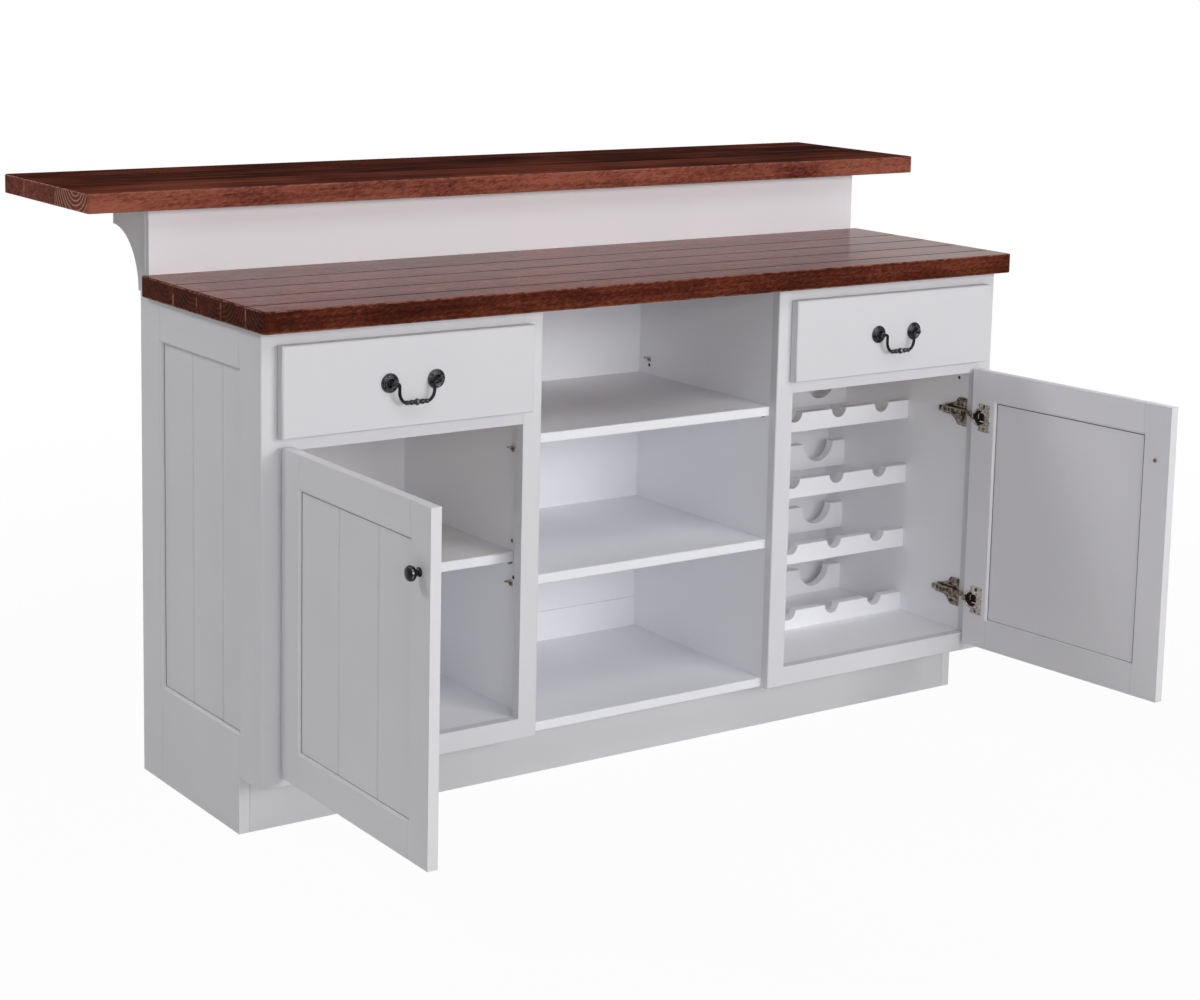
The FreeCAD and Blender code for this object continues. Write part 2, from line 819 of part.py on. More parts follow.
def door_node(name, members):
    # The pieces are drawn on the right with the door shut, and swung to the open pose.
    node(f"right_{name}", members, DOOR_POSES["right"])
    node(f"left_{name}", [mirrored(member) for member in members], DOOR_POSES["left"])


def doors():
    thickness = ("doorFaceY", "doorBackY")
    free_edge = "doorEdgeX - doorWidth"
    opening_x = (f"{free_edge} + doorFrame", "doorEdgeX - doorFrame")
    opening_z = ("doorSill + doorFrame", "doorTopZ - doorFrame")
    height = ("doorSill", "doorTopZ")
    hinge_stile = board("door_hinge_stile", (opening_x[1], "doorEdgeX"), thickness, height)
    cups = []
    for level, middle in HINGE_LEVELS.items():
        cups.append(rod(
            f"cup_pocket_{level}", "cupRadius", "cupDepth",
            "cupX", "doorBackY - cupDepth", middle, along="y",
        ))
    members = [
        cut(hinge_stile, cups),
        board("door_free_stile", (free_edge, opening_x[0]), thickness, height),
        board("door_bottom_rail", opening_x, thickness, (height[0], opening_z[0])),
        board("door_top_rail", opening_x, thickness, (opening_z[1], height[1])),
    ]
    bevels = [
        bevel_cutter("door_bevel_front", opening_x, opening_z, "doorFaceY", inward=1),
        bevel_cutter("door_bevel_back", opening_x, opening_z, "doorBackY", inward=-1),
    ]
    door_node("door_frame", [cut(member, bevels) for member in members])

    panel_y = "doorFaceY + doorRecess"
    panel = board("door_board", opening_x, (panel_y, f"{panel_y} + doorPanelThick"), opening_z)
    grooves = []
    for number in (1, 2):
        groove_x = f"{opening_x[1]} - {number} * doorBoard"
        grooves.append(groove(f"door_groove_{number}", groove_x, panel_y, opening_z))
    door_node("door_panel", [cut(panel, grooves)])

    spot = ("knobX", "doorFaceY", "knobZ")
    base = turned("knob_base", "knobBaseRadius", "knobBaseThick", *spot, FRONTWARD)
    neck = turned("knob_neck", "knobNeckRadius", "knobReach - knobHeadThick / 2", *spot, FRONTWARD)
    head = turned(
        "knob_head", "knobRadius", "knobHeadThick",
        "knobX", "doorFaceY - (knobReach - knobHeadThick)", "knobZ", FRONTWARD,
    )
    rounded = eased(head, size("knobBevel"), lambda box: box.YLength < 0.01)
    door_node("door_knob", [fuse("knob", [base, neck, rounded])])


def hinge_cup(level, middle):
    # The round cup that is let into the door, slotted for the arm, with its flange and pin.
    name = f"{level}_cup"
    plug = rod(f"{name}_plug", "cupRadius", "cupDepth", "cupX", "doorBackY - cupDepth", middle, along="y")
    flange_x = "doorEdgeX - flangeEdge"
    flange = board(
        f"{name}_flange",
        (f"{flange_x} - flangeReach", flange_x),
        ("doorBackY", "doorBackY + flangeThick"),
        (f"{middle} - flangeHeight / 2", f"{middle} + flangeHeight / 2"),
    )
    half_slot = "armHeight / 2 + slotClear"
    slot = board(
        f"{name}_slot",
        ("pivotX - hookRadius - hookThick - slotClear", "pivotX + knuckleRadius + slotClear"),
        ("pivotY - knuckleRadius - slotClear", "doorBackY + flangeThick"),
        (f"{middle} - ({half_slot})", f"{middle} + {half_slot}"),
    )
    pin = rod(
        f"{name}_pin", "pivotPinRadius", f"2 * ({half_slot})",
        "pivotX", "pivotY", f"{middle} - ({half_slot})",
    )
    return fuse(name, [cut(fuse(f"{name}_body", [plug, flange]), [slot]), pin])


def hinge_arm(level, middle):
    # A hooked arm: its knuckle turns on the cup's pin, and the hook clears the door's edge.
    name = f"{level}_arm"
    low = f"{middle} - armHeight / 2"
    high = f"{middle} + armHeight / 2"
    hook = rod(f"{name}_hook", "hookRadius + hookThick", "armHeight", "pivotX", "pivotY", low)
    hook.Angle = 93
    hook.Placement = Placement(Vector(), Rotation(AXES["z"], 87))
    inside = rod(f"{name}_inside", "hookRadius", "armHeight", "pivotX", "pivotY", low)
    spoke = board(
        f"{name}_spoke",
        ("pivotX - hookRadius - hookThick / 2", "pivotX"),
        ("pivotY - hookThick * 0.4", "pivotY + hookThick * 0.4"),
        (low, high),
    )
    knuckle = rod(f"{name}_knuckle", "knuckleRadius", "armHeight", "pivotX", "pivotY", low)
    bar = board(
        f"{name}_bar",
        ("armX - hookThick", "armX"),
        ("pivotY + hookRadius", "carcassY + armReach"),
        (low, high),
    )
    housing = board(
        f"{name}_housing",
        ("armX - hookThick - armHousing", "armX - hookThick"),
        ("carcassY + armReach / 10", "carcassY + armReach * 0.8"),
        (f"{middle} - housingHeight / 2", f"{middle} + housingHeight / 2"),
    )
    solid = fuse(f"{name}_solid", [cut(hook, [inside]), spoke, knuckle, bar, housing])
    bore = rod(f"{name}_bore", "pivotPinRadius + pivotPinFit", "armHeight", "pivotX", "pivotY", low)
    return cut(solid, [bore])


def hinge_plate(level, middle):
    # The winged plate that is screwed to the cabinet's side and carries the arm.
    body = doc.addObject("PartDesign::Body", f"{level}_plate")
    sketch = new_sketch(body, f"{level}_plate_outline", "YZ_Plane")
    tail = "armReach * 0.9"
    half = "housingHeight / 2"
    upper = [("2", "plateWing"), ("18", "plateWing"), ("27", half), (tail, half)]
    lower = [(y, f"-({z})") for y, z in reversed(upper)]
    outline(sketch, upper + lower)
    pad(body, sketch, "plateThick")
    return place(body, "armX", "carcassY", middle)


def hinges():
    door_node("hinge_cups", [hinge_cup(level, middle) for level, middle in HINGE_LEVELS.items()])
    members = []
    for level, middle in HINGE_LEVELS.items():
        members += [hinge_arm(level, middle), hinge_plate(level, middle)]
    node("hinge_arms", members + [mirrored(member) for member in members])


# --------------------------------------------------------- drawers, runners and bail pulls
def drawers():
    half_front = "drawerFrontWidth / 2"
    front = board(
        "drawer_slab",
        (f"unitMiddleX - {half_front}", f"unitMiddleX + {half_front}"),
        ("drawerFaceY", "drawerBackY"),
        ("drawerSill", "drawerSill + drawerFrontHeight"),
    )

    def face_edge(box):
        return near(box.YMax, size("drawerFaceY"))

    both_sides("drawer_front", [eased(front, size("drawerFrontEase"), face_edge)])
    inside_x = ("boxX + boxWall", "boxOuterX - boxWall")
    box_end = "drawerBackY + boxLength"
    height = ("boxZ", "boxZ + boxHeight")
    both_sides("drawer_box", [
        board("box_inner_side", ("boxX", "boxX + boxWall"), ("drawerBackY", box_end), height),
        board("box_outer_side", ("boxOuterX - boxWall", "boxOuterX"), ("drawerBackY", box_end), height),
        board("box_front", inside_x, ("drawerBackY", "drawerBackY + boxWall"), height),
        board("box_back", inside_x, (f"{box_end} - boxWall", box_end), height),
    ])
    bottom = board(
        "box_bottom",
        inside_x,
        ("drawerBackY + boxWall", f"{box_end} - boxWall"),
        ("boxZ + boxBottomLift", "boxZ + boxBottomLift + boxBottomThick"),
    )
    both_sides("drawer_bottom", [bottom])


def channel(name, wall, direction, start, end, half_height, opens_to_wall=False):
    # A rolled steel channel beside a wall, from a start to an end distance out from it.
    def limits(first, second):
        pair = (f"{wall} - ({second})", f"{wall} - ({first})")
        if direction > 0:
            pair = (f"{wall} + ({first})", f"{wall} + ({second})")
        return pair

    along = ("runnerY", "runnerY + runnerLength")
    whole = board(
        name, limits(start, end), along, (f"runnerZ - ({half_height})", f"runnerZ + ({half_height})")
    )
    inner = f"({half_height}) - runnerSkin"
    hollow_ends = (start, f"({end}) - runnerSkin") if opens_to_wall else (f"({start}) + runnerSkin", end)
    hollow = board(
        f"{name}_hollow", limits(*hollow_ends), along, (f"runnerZ - ({inner})", f"runnerZ + ({inner})")
    )
    return cut(whole, [hollow])


def runners():
    # Three nested channels on each side: fixed, intermediate and the one on the drawer.
    nest = "(runnerSkin + runnerClear)"
    fixed = []
    middle = []
    moving = []
    for name, wall, direction in (("outer", "sideX", -1), ("inner", "openingX", 1)):
        fixed.append(channel(
            f"{name}_fixed", wall, direction, "0", "runnerSpace - runnerClear", "runnerHeight / 2"
        ))
        middle.append(channel(
            f"{name}_middle", wall, direction,
            nest, "runnerSpace - 2 * runnerClear", f"runnerHeight / 2 - {nest}",
        ))
        moving.append(channel(
            f"{name}_moving", wall, direction,
            f"2 * {nest}", "runnerSpace", f"runnerHeight / 2 - 2 * {nest}", opens_to_wall=True,
        ))
    node("fixed_runners", fixed + [mirrored(member) for member in fixed])
    both_sides("middle_runners", middle)
    both_sides("drawer_runners", moving)
    spacer = board(
        "spacer",
        ("partitionX", "openingX"),
        ("carcassY", "runnerY + runnerLength"),
        ("runnerZ - runnerHeight / 2", "runnerZ + runnerHeight / 2"),
    )
    node("runner_spacers", [spacer, mirrored(spacer)])


BAIL_ARM = "(pullSpacing / 2 - bailInset)"
BEND_STEPS = 3


def pull_mount(name, x):
    # A domed rosette with a ball in front of it, bored for one end of the bail.
    disc = turned(f"{name}_disc", "rosetteRadius", "rosetteThick", x, "drawerFaceY", "pullZ", FRONTWARD)
    front = size("drawerFaceY") - size("rosetteThick")
    dome = eased(disc, size("rosetteBevel"), lambda box: box.YLength < 0.01 and near(box.YMin, front))
    post = turned(f"{name}_post", "postRadius", "postReach", x, "drawerFaceY", "pullZ", FRONTWARD)
    end = turned(
        f"{name}_ball", "ballRadius", "2 * ballRadius",
        x, "drawerFaceY - (postReach - ballRadius)", "pullZ", FRONTWARD,
    )
    ball = eased(end, size("ballBevel"), lambda box: box.YLength < 0.01)
    solid = fuse(f"{name}_solid", [dome, post, ball])
    socket = rod(
        f"{name}_socket", "bailPinRadius + bailPinFit", "2 * ballRadius",
        f"{x} - ballRadius", "pullY", "pullZ", along="x",
    )
    return cut(solid, [socket])


def bail():
    # A drop handle: an eight-sided bar that hangs from two round ends, with a bead in the middle.
    body = doc.addObject("PartDesign::Body", "bail_bar")
    sketch = new_sketch(body, "bail_outline", "XZ_Plane")
    outline(sketch, bail_run(1) + bail_run(-1)[::-1])
    pad(body, sketch, "2 * bailRadius")
    place(body, "unitMiddleX", "pullY + bailRadius", "pullZ")
    radius = size("bailRadius")

    def face_edge(box):
        flat = box.YLength < 0.01 and box.ZMax < size("pullZ") + radius - 0.01
        return flat and (near(box.YMin, size("pullY") - radius) or near(box.YMin, size("pullY") + radius))

    members = [eased(body, radius * (2 - math.sqrt(2)), face_edge)]
    pin_length = "bailInset + postRadius"
    starts = {
        "left": f"unitMiddleX - {BAIL_ARM} - ({pin_length})",
        "right": f"unitMiddleX + {BAIL_ARM}",
    }
    for side, start in starts.items():
        members.append(rod(
            f"bail_{side}_pin", "bailPinRadius", pin_length, start, "pullY", "pullZ", along="x"
        ))
    bead = turned(
        "bail_bead", "beadRadius", "beadLength",
        "unitMiddleX - beadLength / 2", "pullY", "pullZ - bailDrop", AXES["x"],
    )
    members.append(eased(bead, size("beadBevel"), lambda box: box.XLength < 0.01))
    return fuse("bail", members)


def bail_run(offset):
    # One edge of the bail's U shape, from left to right: arms, bends of straight steps and a grip.
    reach = f"(bailBend + {offset} * bailRadius)"
    points = [(f"-({BAIL_ARM} + {offset} * bailRadius)", "bailRadius")]
    for side, steps in (("-", range(BEND_STEPS + 1)), ("", range(BEND_STEPS, -1, -1))):
        for step in steps:
            angle = math.pi / 2 * step / BEND_STEPS
            across = f"{BAIL_ARM} - bailBend + {reach} * {math.cos(angle):.6f}"
            points.append((f"{side}({across})", f"bailBend - bailDrop - {reach} * {math.sin(angle):.6f}"))
    points.append((f"{BAIL_ARM} + {offset} * bailRadius", "bailRadius"))
    return points


def pulls():
    members = []
    for number, side in ((1, "-"), (2, "+")):
        members.append(pull_mount(f"pull_mount_{number}", f"unitMiddleX {side} pullSpacing / 2"))
    both_sides("pull_mounts", members)
    both_sides("pull_bail", [bail()])


# --------------------------------------------------------------------- build and write out
plinth()
carcass()
framed_ends()
framed_rear()
face_frames()
knee_wall()
corbels()
tops()
shelves()
bottle_rack()
doors()
hinges()
drawers()
runners()
pulls()
doc.recompute()

failed = [item.Name for item in doc.Objects if {"Invalid", "Error"} & set(item.State)]
assert not failed, f"failed features: {failed}"
for item in nodes:
    assert not item.Shape.isNull(), f"{item.Label} is empty"
    assert item.Shape.isValid(), f"{item.Label} is not valid"

os.makedirs("parts", exist_ok=True)
for item in nodes:
    item.Shape.exportStep(f"parts/{item.Label}.step")
    print(f"{item.Label}: {len(item.Shape.Solids)} solid(s), {item.Shape.Volume / 1000:.1f} cm3")
print(f"{len(nodes)} nodes")
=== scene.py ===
import json
import math
import random

import bmesh
import bpy
from mathutils import Matrix, Vector


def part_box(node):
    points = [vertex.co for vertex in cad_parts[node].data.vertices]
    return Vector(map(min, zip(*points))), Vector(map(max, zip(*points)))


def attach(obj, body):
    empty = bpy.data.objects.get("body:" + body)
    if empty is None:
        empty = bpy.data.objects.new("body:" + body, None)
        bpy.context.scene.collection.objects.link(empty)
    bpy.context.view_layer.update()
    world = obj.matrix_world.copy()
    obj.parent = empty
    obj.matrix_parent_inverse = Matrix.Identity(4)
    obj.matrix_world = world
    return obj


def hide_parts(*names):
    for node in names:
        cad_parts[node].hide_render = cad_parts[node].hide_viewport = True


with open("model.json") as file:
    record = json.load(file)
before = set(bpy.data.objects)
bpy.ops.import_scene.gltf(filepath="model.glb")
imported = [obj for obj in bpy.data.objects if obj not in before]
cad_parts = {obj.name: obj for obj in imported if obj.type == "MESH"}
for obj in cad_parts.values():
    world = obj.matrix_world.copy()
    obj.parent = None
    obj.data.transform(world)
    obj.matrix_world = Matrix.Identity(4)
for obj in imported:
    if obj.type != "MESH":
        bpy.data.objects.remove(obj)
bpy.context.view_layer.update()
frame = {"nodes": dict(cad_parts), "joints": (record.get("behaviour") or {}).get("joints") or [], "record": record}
joints = {joint["name"]: joint for joint in frame["joints"]}
dice = random.Random(7)
print("frame loaded:", len(frame["nodes"]), "nodes")


# camera, light and floor
studio = {
    "cameraPlace": (-2.5737, -3.6843, 1.5144),
    "cameraTurn": -34.362,
    "cameraTilt": -8.715,
    "cameraRoll": 1.117,
    "lens": 72.35,
    "sensor": 36,
    "shift": (0.0266, -0.16),
    "worldStrength": 0.08,
    "floorColor": (0.76, 0.76, 0.76, 1),
    "floorReach": 90,
    # the floor's share of plain white near the object, and where it starts and ends to rise to 1
    "floorGlow": 0.965,
    "fade": (1.2, 3.5),
    "lampTarget": (0, 0, 0.5),
    # name: (place, width, height, watts)
    "lamps": {
        "keyLamp": ((-4.80, -10.90, 2.90), 7.5, 3.0, 290),
        "frontLamp": ((1.70, -5.95, 2.10), 3.3, 2.0, 134),
        "sideLamp": ((-3.21, 1.17, 3.58), 1.0, 1.0, 46),
        "topLamp": ((0, -2.6, 4.0), 3.0, 1.6, 30),
        "backLamp": ((-0.8, 4.9, 2.2), 2.0, 1.5, 34),
        "endLamp": ((4.6, 1.6, 1.8), 1.8, 1.4, 24),
    },
}

scene = bpy.context.scene
scene.view_settings.view_transform = "Standard"

cameraData = bpy.data.cameras.new("camera")
cameraData.lens = studio["lens"]
cameraData.sensor_width = studio["sensor"]
cameraData.sensor_fit = "HORIZONTAL"
cameraData.shift_x, cameraData.shift_y = studio["shift"]
camera = bpy.data.objects.new("camera", cameraData)
scene.collection.objects.link(camera)
camera.rotation_mode = "QUATERNION"
camera.location = studio["cameraPlace"]
camera.rotation_quaternion = (
    Matrix.Rotation(math.radians(studio["cameraTurn"]), 3, "Z")
    @ Matrix.Rotation(math.radians(90 + studio["cameraTilt"]), 3, "X")
    @ Matrix.Rotation(math.radians(studio["cameraRoll"]), 3, "Z")
).to_quaternion()
scene.camera = camera

for lampName, (place, width, height, watts) in studio["lamps"].items():
    lampData = bpy.data.lights.new(lampName, "AREA")
    lampData.shape = "RECTANGLE"
    lampData.size = width
    lampData.size_y = height
    lampData.energy = watts
    lamp = bpy.data.objects.new(lampName, lampData)
    lamp.location = place
    lamp.rotation_mode = "QUATERNION"
    lamp.rotation_quaternion = (Vector(studio["lampTarget"]) - Vector(place)).to_track_quat("-Z", "Y")
    scene.collection.objects.link(lamp)


# small helpers for node trees
def feed(tree, value, socket):
    if isinstance(value, bpy.types.NodeSocket):
        tree.links.new(value, socket)
    else:
        socket.default_value = value


def addNode(tree, kind, inputs=None, **settings):
    new = tree.nodes.new(kind)
    for name, value in settings.items():
        setattr(new, name, value)
    for key, value in (inputs or {}).items():
        feed(tree, value, new.inputs[key])
    return new


def maths(tree, operation, first, second=0.0, third=0.0, clamp=False):
    inputs = {0: first, 1: second, 2: third}
    return addNode(tree, "ShaderNodeMath", inputs, operation=operation, use_clamp=clamp).outputs[0]


def times(tree, first, second, clamp=False):
    return maths(tree, "MULTIPLY", first, second, clamp=clamp)


def plus(tree, first, second):
    return maths(tree, "ADD", first, second)


def spread(tree, value, low, high, toLow=0.0, toHigh=1.0):
    # stretches part of a value's range over another range
    inputs = {"Value": value, "From Min": low, "From Max": high, "To Min": toLow, "To Max": toHigh}
    return addNode(tree, "ShaderNodeMapRange", inputs).outputs["Result"]


def noiseAt(tree, vector, scale, detail=3.0, roughness=0.55, stretch=None):
    if stretch:
        stretched = addNode(tree, "ShaderNodeVectorMath", {0: vector, 1: stretch}, operation="MULTIPLY")
        vector = stretched.outputs[0]
    inputs = {"Vector": vector, "Scale": scale, "Detail": detail, "Roughness": roughness}
    return addNode(tree, "ShaderNodeTexNoise", inputs).outputs["Fac"]


def blendColors(tree, amount, first, second):
    mix = addNode(tree, "ShaderNodeMix", data_type="RGBA")
    for index, value in ((0, amount), (6, first), (7, second)):
        feed(tree, value, mix.inputs[index])
    return mix.outputs[2]


def plainRays(tree):
    # 1 for the rays that see the plain background, 0 for those that light the object
    rays = addNode(tree, "ShaderNodeLightPath").outputs
    bent = maths(tree, "MAXIMUM", rays["Is Glossy Ray"], rays["Is Transmission Ray"])
    return maths(tree, "MAXIMUM", rays["Is Camera Ray"], bent)


def ramp(tree, value, stops):
    colors = addNode(tree, "ShaderNodeValToRGB", {"Fac": value})
    while len(colors.color_ramp.elements) < len(stops):
        colors.color_ramp.elements.new(0.5)
    for element, (place, color) in zip(colors.color_ramp.elements, stops):
        element.position = place
        element.color = color
    return colors.outputs["Color"]


def newGroup(name, inputs, outputs):
    tree = bpy.data.node_groups.new(name, "ShaderNodeTree")
    for way, sockets in (("INPUT", inputs), ("OUTPUT", outputs)):
        for label, kind in sockets:
            tree.interface.new_socket(label, in_out=way, socket_type=kind)
    return tree, tree.nodes.new("NodeGroupInput").outputs, tree.nodes.new("NodeGroupOutput")


def placeGroup(tree, group, inputs=None):
    new = addNode(tree, "ShaderNodeGroup", node_tree=group)
    for label, value in (inputs or {}).items():
        feed(tree, value, new.inputs[label])
    return new.outputs


def giveOut(tree, out, results):
    for label, value in results.items():
        tree.links.new(value, out.inputs[label])
    return tree


# effects that several finishes share
number, vector3 = "NodeSocketFloat", "NodeSocketVector"


def makeBoardPlace():
    # where a point lies on its own board, X along the length, and the board's own random tone
    tree, _, out = newGroup("boardPlace", [], [("Place", vector3), ("Tone", number), ("Edge", number)])
    place, tone, edge = [
        addNode(tree, "ShaderNodeAttribute", attribute_name=name).outputs
        for name in ("boardPlace", "boardTone", "softEdge")
    ]
    return giveOut(tree, out, {"Place": place["Vector"], "Tone": tone["Fac"], "Edge": edge["Fac"]})


def makeWoodFigure():
    # growth rings round a heart off the board, long streaks, ripples across them and short pores
    tree, given, out = newGroup(
        "woodFigure",
        [("Place", vector3), ("Ring Spacing", number), ("Heart Depth", number), ("Warp", number)],
        [("Rings", number), ("Streaks", number), ("Ripples", number), ("Pores", number)],
    )
    warp = noiseAt(tree, given["Place"], 1.0, 2.0, 0.5, (1.3, 9, 9))
    split = addNode(tree, "ShaderNodeSeparateXYZ", {0: given["Place"]}).outputs
    deep = plus(tree, split["Z"], given["Heart Depth"])
    across = times(tree, split["Y"], split["Y"])
    distance = maths(tree, "SQRT", plus(tree, across, times(tree, deep, deep)))
    bent = plus(tree, distance, times(tree, warp, given["Warp"]))
    ringPlace = maths(tree, "FRACT", maths(tree, "DIVIDE", bent, given["Ring Spacing"]))
    turn = {"Vector": given["Place"], "Angle": 0.22}
    slanted = addNode(tree, "ShaderNodeVectorRotate", turn, rotation_type="Y_AXIS").outputs["Vector"]
    poreNoise = noiseAt(tree, given["Place"], 1.0, 2.0, 0.6, (28, 900, 900))
    return giveOut(tree, out, {
        "Rings": maths(tree, "POWER", ringPlace, 2.2),
        "Streaks": noiseAt(tree, given["Place"], 1.0, 5.0, 0.68, (2.6, 46, 46)),
        "Ripples": noiseAt(tree, slanted, 1.0, 5.0, 0.72, (80, 190, 260)),
        "Pores": spread(tree, poreNoise, 0.58, 0.72),
    })


def makePatina():
    # soft blotches at a chosen scale, and a broken-up line along softened edges
    tree, given, out = newGroup(
        "patina",
        [("Place", vector3), ("Blotch Scale", number), ("Edge", number), ("Edge Scale", number)],
        [("Blotch", number), ("Worn Edge", number)],
    )
    breaks = noiseAt(tree, given["Place"], given["Edge Scale"], 3.0, 0.5)
    return giveOut(tree, out, {
        "Blotch": noiseAt(tree, given["Place"], given["Blotch Scale"], 5.0, 0.5),
        "Worn Edge": times(tree, given["Edge"], spread(tree, breaks, 0.40, 0.62)),
    })


def makeFilm():
    # the faint unevenness of a sprayed or brushed coat, as a height and as a share of its gloss
    tree, given, out = newGroup(
        "filmTexture",
        [("Place", vector3), ("Fineness", number), ("Brushed", number)],
        [("Height", number), ("Gloss", number)],
    )
    grain = noiseAt(tree, given["Place"], given["Fineness"], 2.0, 0.5)
    drawn = noiseAt(tree, given["Place"], 1.0, 3.0, 0.6, (14, 520, 520))
    return giveOut(tree, out, {
        "Height": plus(tree, grain, times(tree, drawn, given["Brushed"])),
        "Gloss": noiseAt(tree, given["Place"], 9.0, 4.0),
    })


boardPlaceGroup = makeBoardPlace()
woodFigureGroup = makeWoodFigure()
patinaGroup = makePatina()
filmGroup = makeFilm()
print("shared effects made")


# finishes
# in each finish, roughness runs from one value to another, and film holds the fineness of the texture,
# the share of it that is drawn along the board, and the strength and distance of the bump
def newFinish(name, values):
    material = bpy.data.materials.new(name)
    material.use_nodes = True
    tree = material.node_tree
    shader = tree.nodes["Principled BSDF"]
    for label, value in {"IOR": 1.5, **values}.items():
        shader.inputs[label].default_value = value
    return material, tree, shader, placeGroup(tree, boardPlaceGroup)


def figureOf(tree, board, look):
    return placeGroup(tree, woodFigureGroup, {"Place": board["Place"], **look["figure"]})


def patinaOf(tree, board, look, edge):
    return placeGroup(tree, patinaGroup, {"Place": board["Place"], "Edge": edge, **look["patina"]})


def finishOff(tree, shader, board, color, look, gloss=None, dents=0.0):
    fineness, drawn, strength, distance = look["film"]
    film = placeGroup(tree, filmGroup, {"Place": board["Place"], "Fineness": fineness, "Brushed": drawn})
    height = maths(tree, "SUBTRACT", film["Height"], dents)
    bump = addNode(tree, "ShaderNodeBump", {"Height": height, "Strength": strength, "Distance": distance})
    roughness = spread(tree, gloss or film["Gloss"], 0.3, 0.7, *look["roughness"])
    for label, value in (("Base Color", color), ("Roughness", roughness), ("Normal", bump.outputs["Normal"])):
        tree.links.new(value, shader.inputs[label])


whitePaint = {
    # look: (color, shade); the four looks are lit and shaded copies of one white paint, and so painted light:
    # the inside look is lighter in the bays, the door look lighter on the doors, the toe look darker under the
    # cabinet
    "paintedLightLooks": {
        "outside": ((0.772, 0.768, 0.796, 1), (0.748, 0.744, 0.771, 1)),
        "door": ((0.838, 0.824, 0.854, 1), (0.812, 0.799, 0.828, 1)),
        "inside": ((0.945, 0.948, 0.984, 1), (0.925, 0.928, 0.962, 1)),
        "toe": ((0.690, 0.684, 0.706, 1), (0.670, 0.664, 0.684, 1)),
    },
    # nodes painted with the inside look, the lighter copy that paints in light
    "paintedLightInsides": (
        "side_panels", "partitions", "left_floor", "centre_floor", "right_floor", "back_panels",
        "back_nailer", "upper_shelf", "lower_shelf", "left_shelf", "knee_wall_face",
        *(f"rack_{row}_rail_{level}" for row in ("front", "rear") for level in range(1, 5)),
    ),
    "edge": (0.66, 0.65, 0.66, 1),
    "edgeWear": 0.35,
    "boardShade": 0.35,
    "patina": {"Blotch Scale": 3.5, "Edge Scale": 60.0},
    "roughness": (0.36, 0.50),
    "film": (240.0, 0.5, 0.10, 0.0004),
}


def makeWhitePaint(name, look):
    material, tree, shader, board = newFinish(name, {"Specular IOR Level": 0.42})
    patina = patinaOf(tree, board, whitePaint, board["Edge"])
    blotch = spread(tree, patina["Blotch"], 0.35, 0.7, 0, 0.7)
    shading = plus(tree, blotch, times(tree, board["Tone"], whitePaint["boardShade"]))
    color = blendColors(tree, shading, *look)
    worn = times(tree, patina["Worn Edge"], whitePaint["edgeWear"])
    finishOff(tree, shader, board, blendColors(tree, worn, color, whitePaint["edge"]), whitePaint)
    return material


cherryTop = {
    # dark, middle and light stain, on faces that look up and on edges and ends; weight of the varnish
    # on top, seen from above and at a low angle; tops and sides differ partly as face and edge grain and partly
    # by painted light: painted sheen on the counter's top and the bar's sides, painted shade on the bar's top
    "counter": {
        "top": ((0.125, 0.024, 0.015, 1), (0.215, 0.044, 0.027, 1), (0.320, 0.080, 0.047, 1)),
        "side": ((0.032, 0.0068, 0.0045, 1), (0.087, 0.0184, 0.0098, 1), (0.195, 0.053, 0.027, 1)),
        "varnish": (0.42, 0.58),
        "endShade": 0.45,
    },
    "bar": {
        "top": ((0.024, 0.0055, 0.0032, 1), (0.105, 0.0225, 0.0120, 1), (0.230, 0.058, 0.032, 1)),
        "side": ((0.072, 0.0170, 0.0115, 1), (0.212, 0.056, 0.037, 1), (0.370, 0.118, 0.074, 1)),
        "varnish": (0.40, 0.012),
        "endShade": 0.26,
    },
    # how much the streaks, blotches, rings and each board's own tone add to the grain
    "streaks": 0.60,
    "blotches": 0.40,
    "rings": -0.05,
    "boardTone": 0.12,
    # on the sides the grain is mixed with this much of the ripples
    "ripples": 0.45,
    # where the three stains lie in the range of the grain, on tops and on sides
    "topStops": (0.36, 0.48, 0.62),
    "sideStops": (0.39, 0.48, 0.58),
    "poreShade": 0.5,
    # the worn colour is partly real wear and partly a painted highlight on softened edges and at the seams' ends
    "wear": 0.5,
    "worn": (0.46, 0.190, 0.125, 1),
    "ringLine": (0.72, 0.420, 0.330, 1),
    # painted shade in the seams between the planks
    "seamShade": (0.010, 0.003, 0.002, 1),
    "figure": {"Ring Spacing": 0.0092, "Heart Depth": -0.046, "Warp": 0.020},
    "patina": {"Blotch Scale": 5.0, "Edge Scale": 90.0},
    "roughness": (0.30, 0.46),
    "film": (90.0, 1.5, 0.16, 0.0006),
    "poreDepth": 2.0,
    "sideVarnish": 0.045,
    "varnishRoughness": 0.20,
}


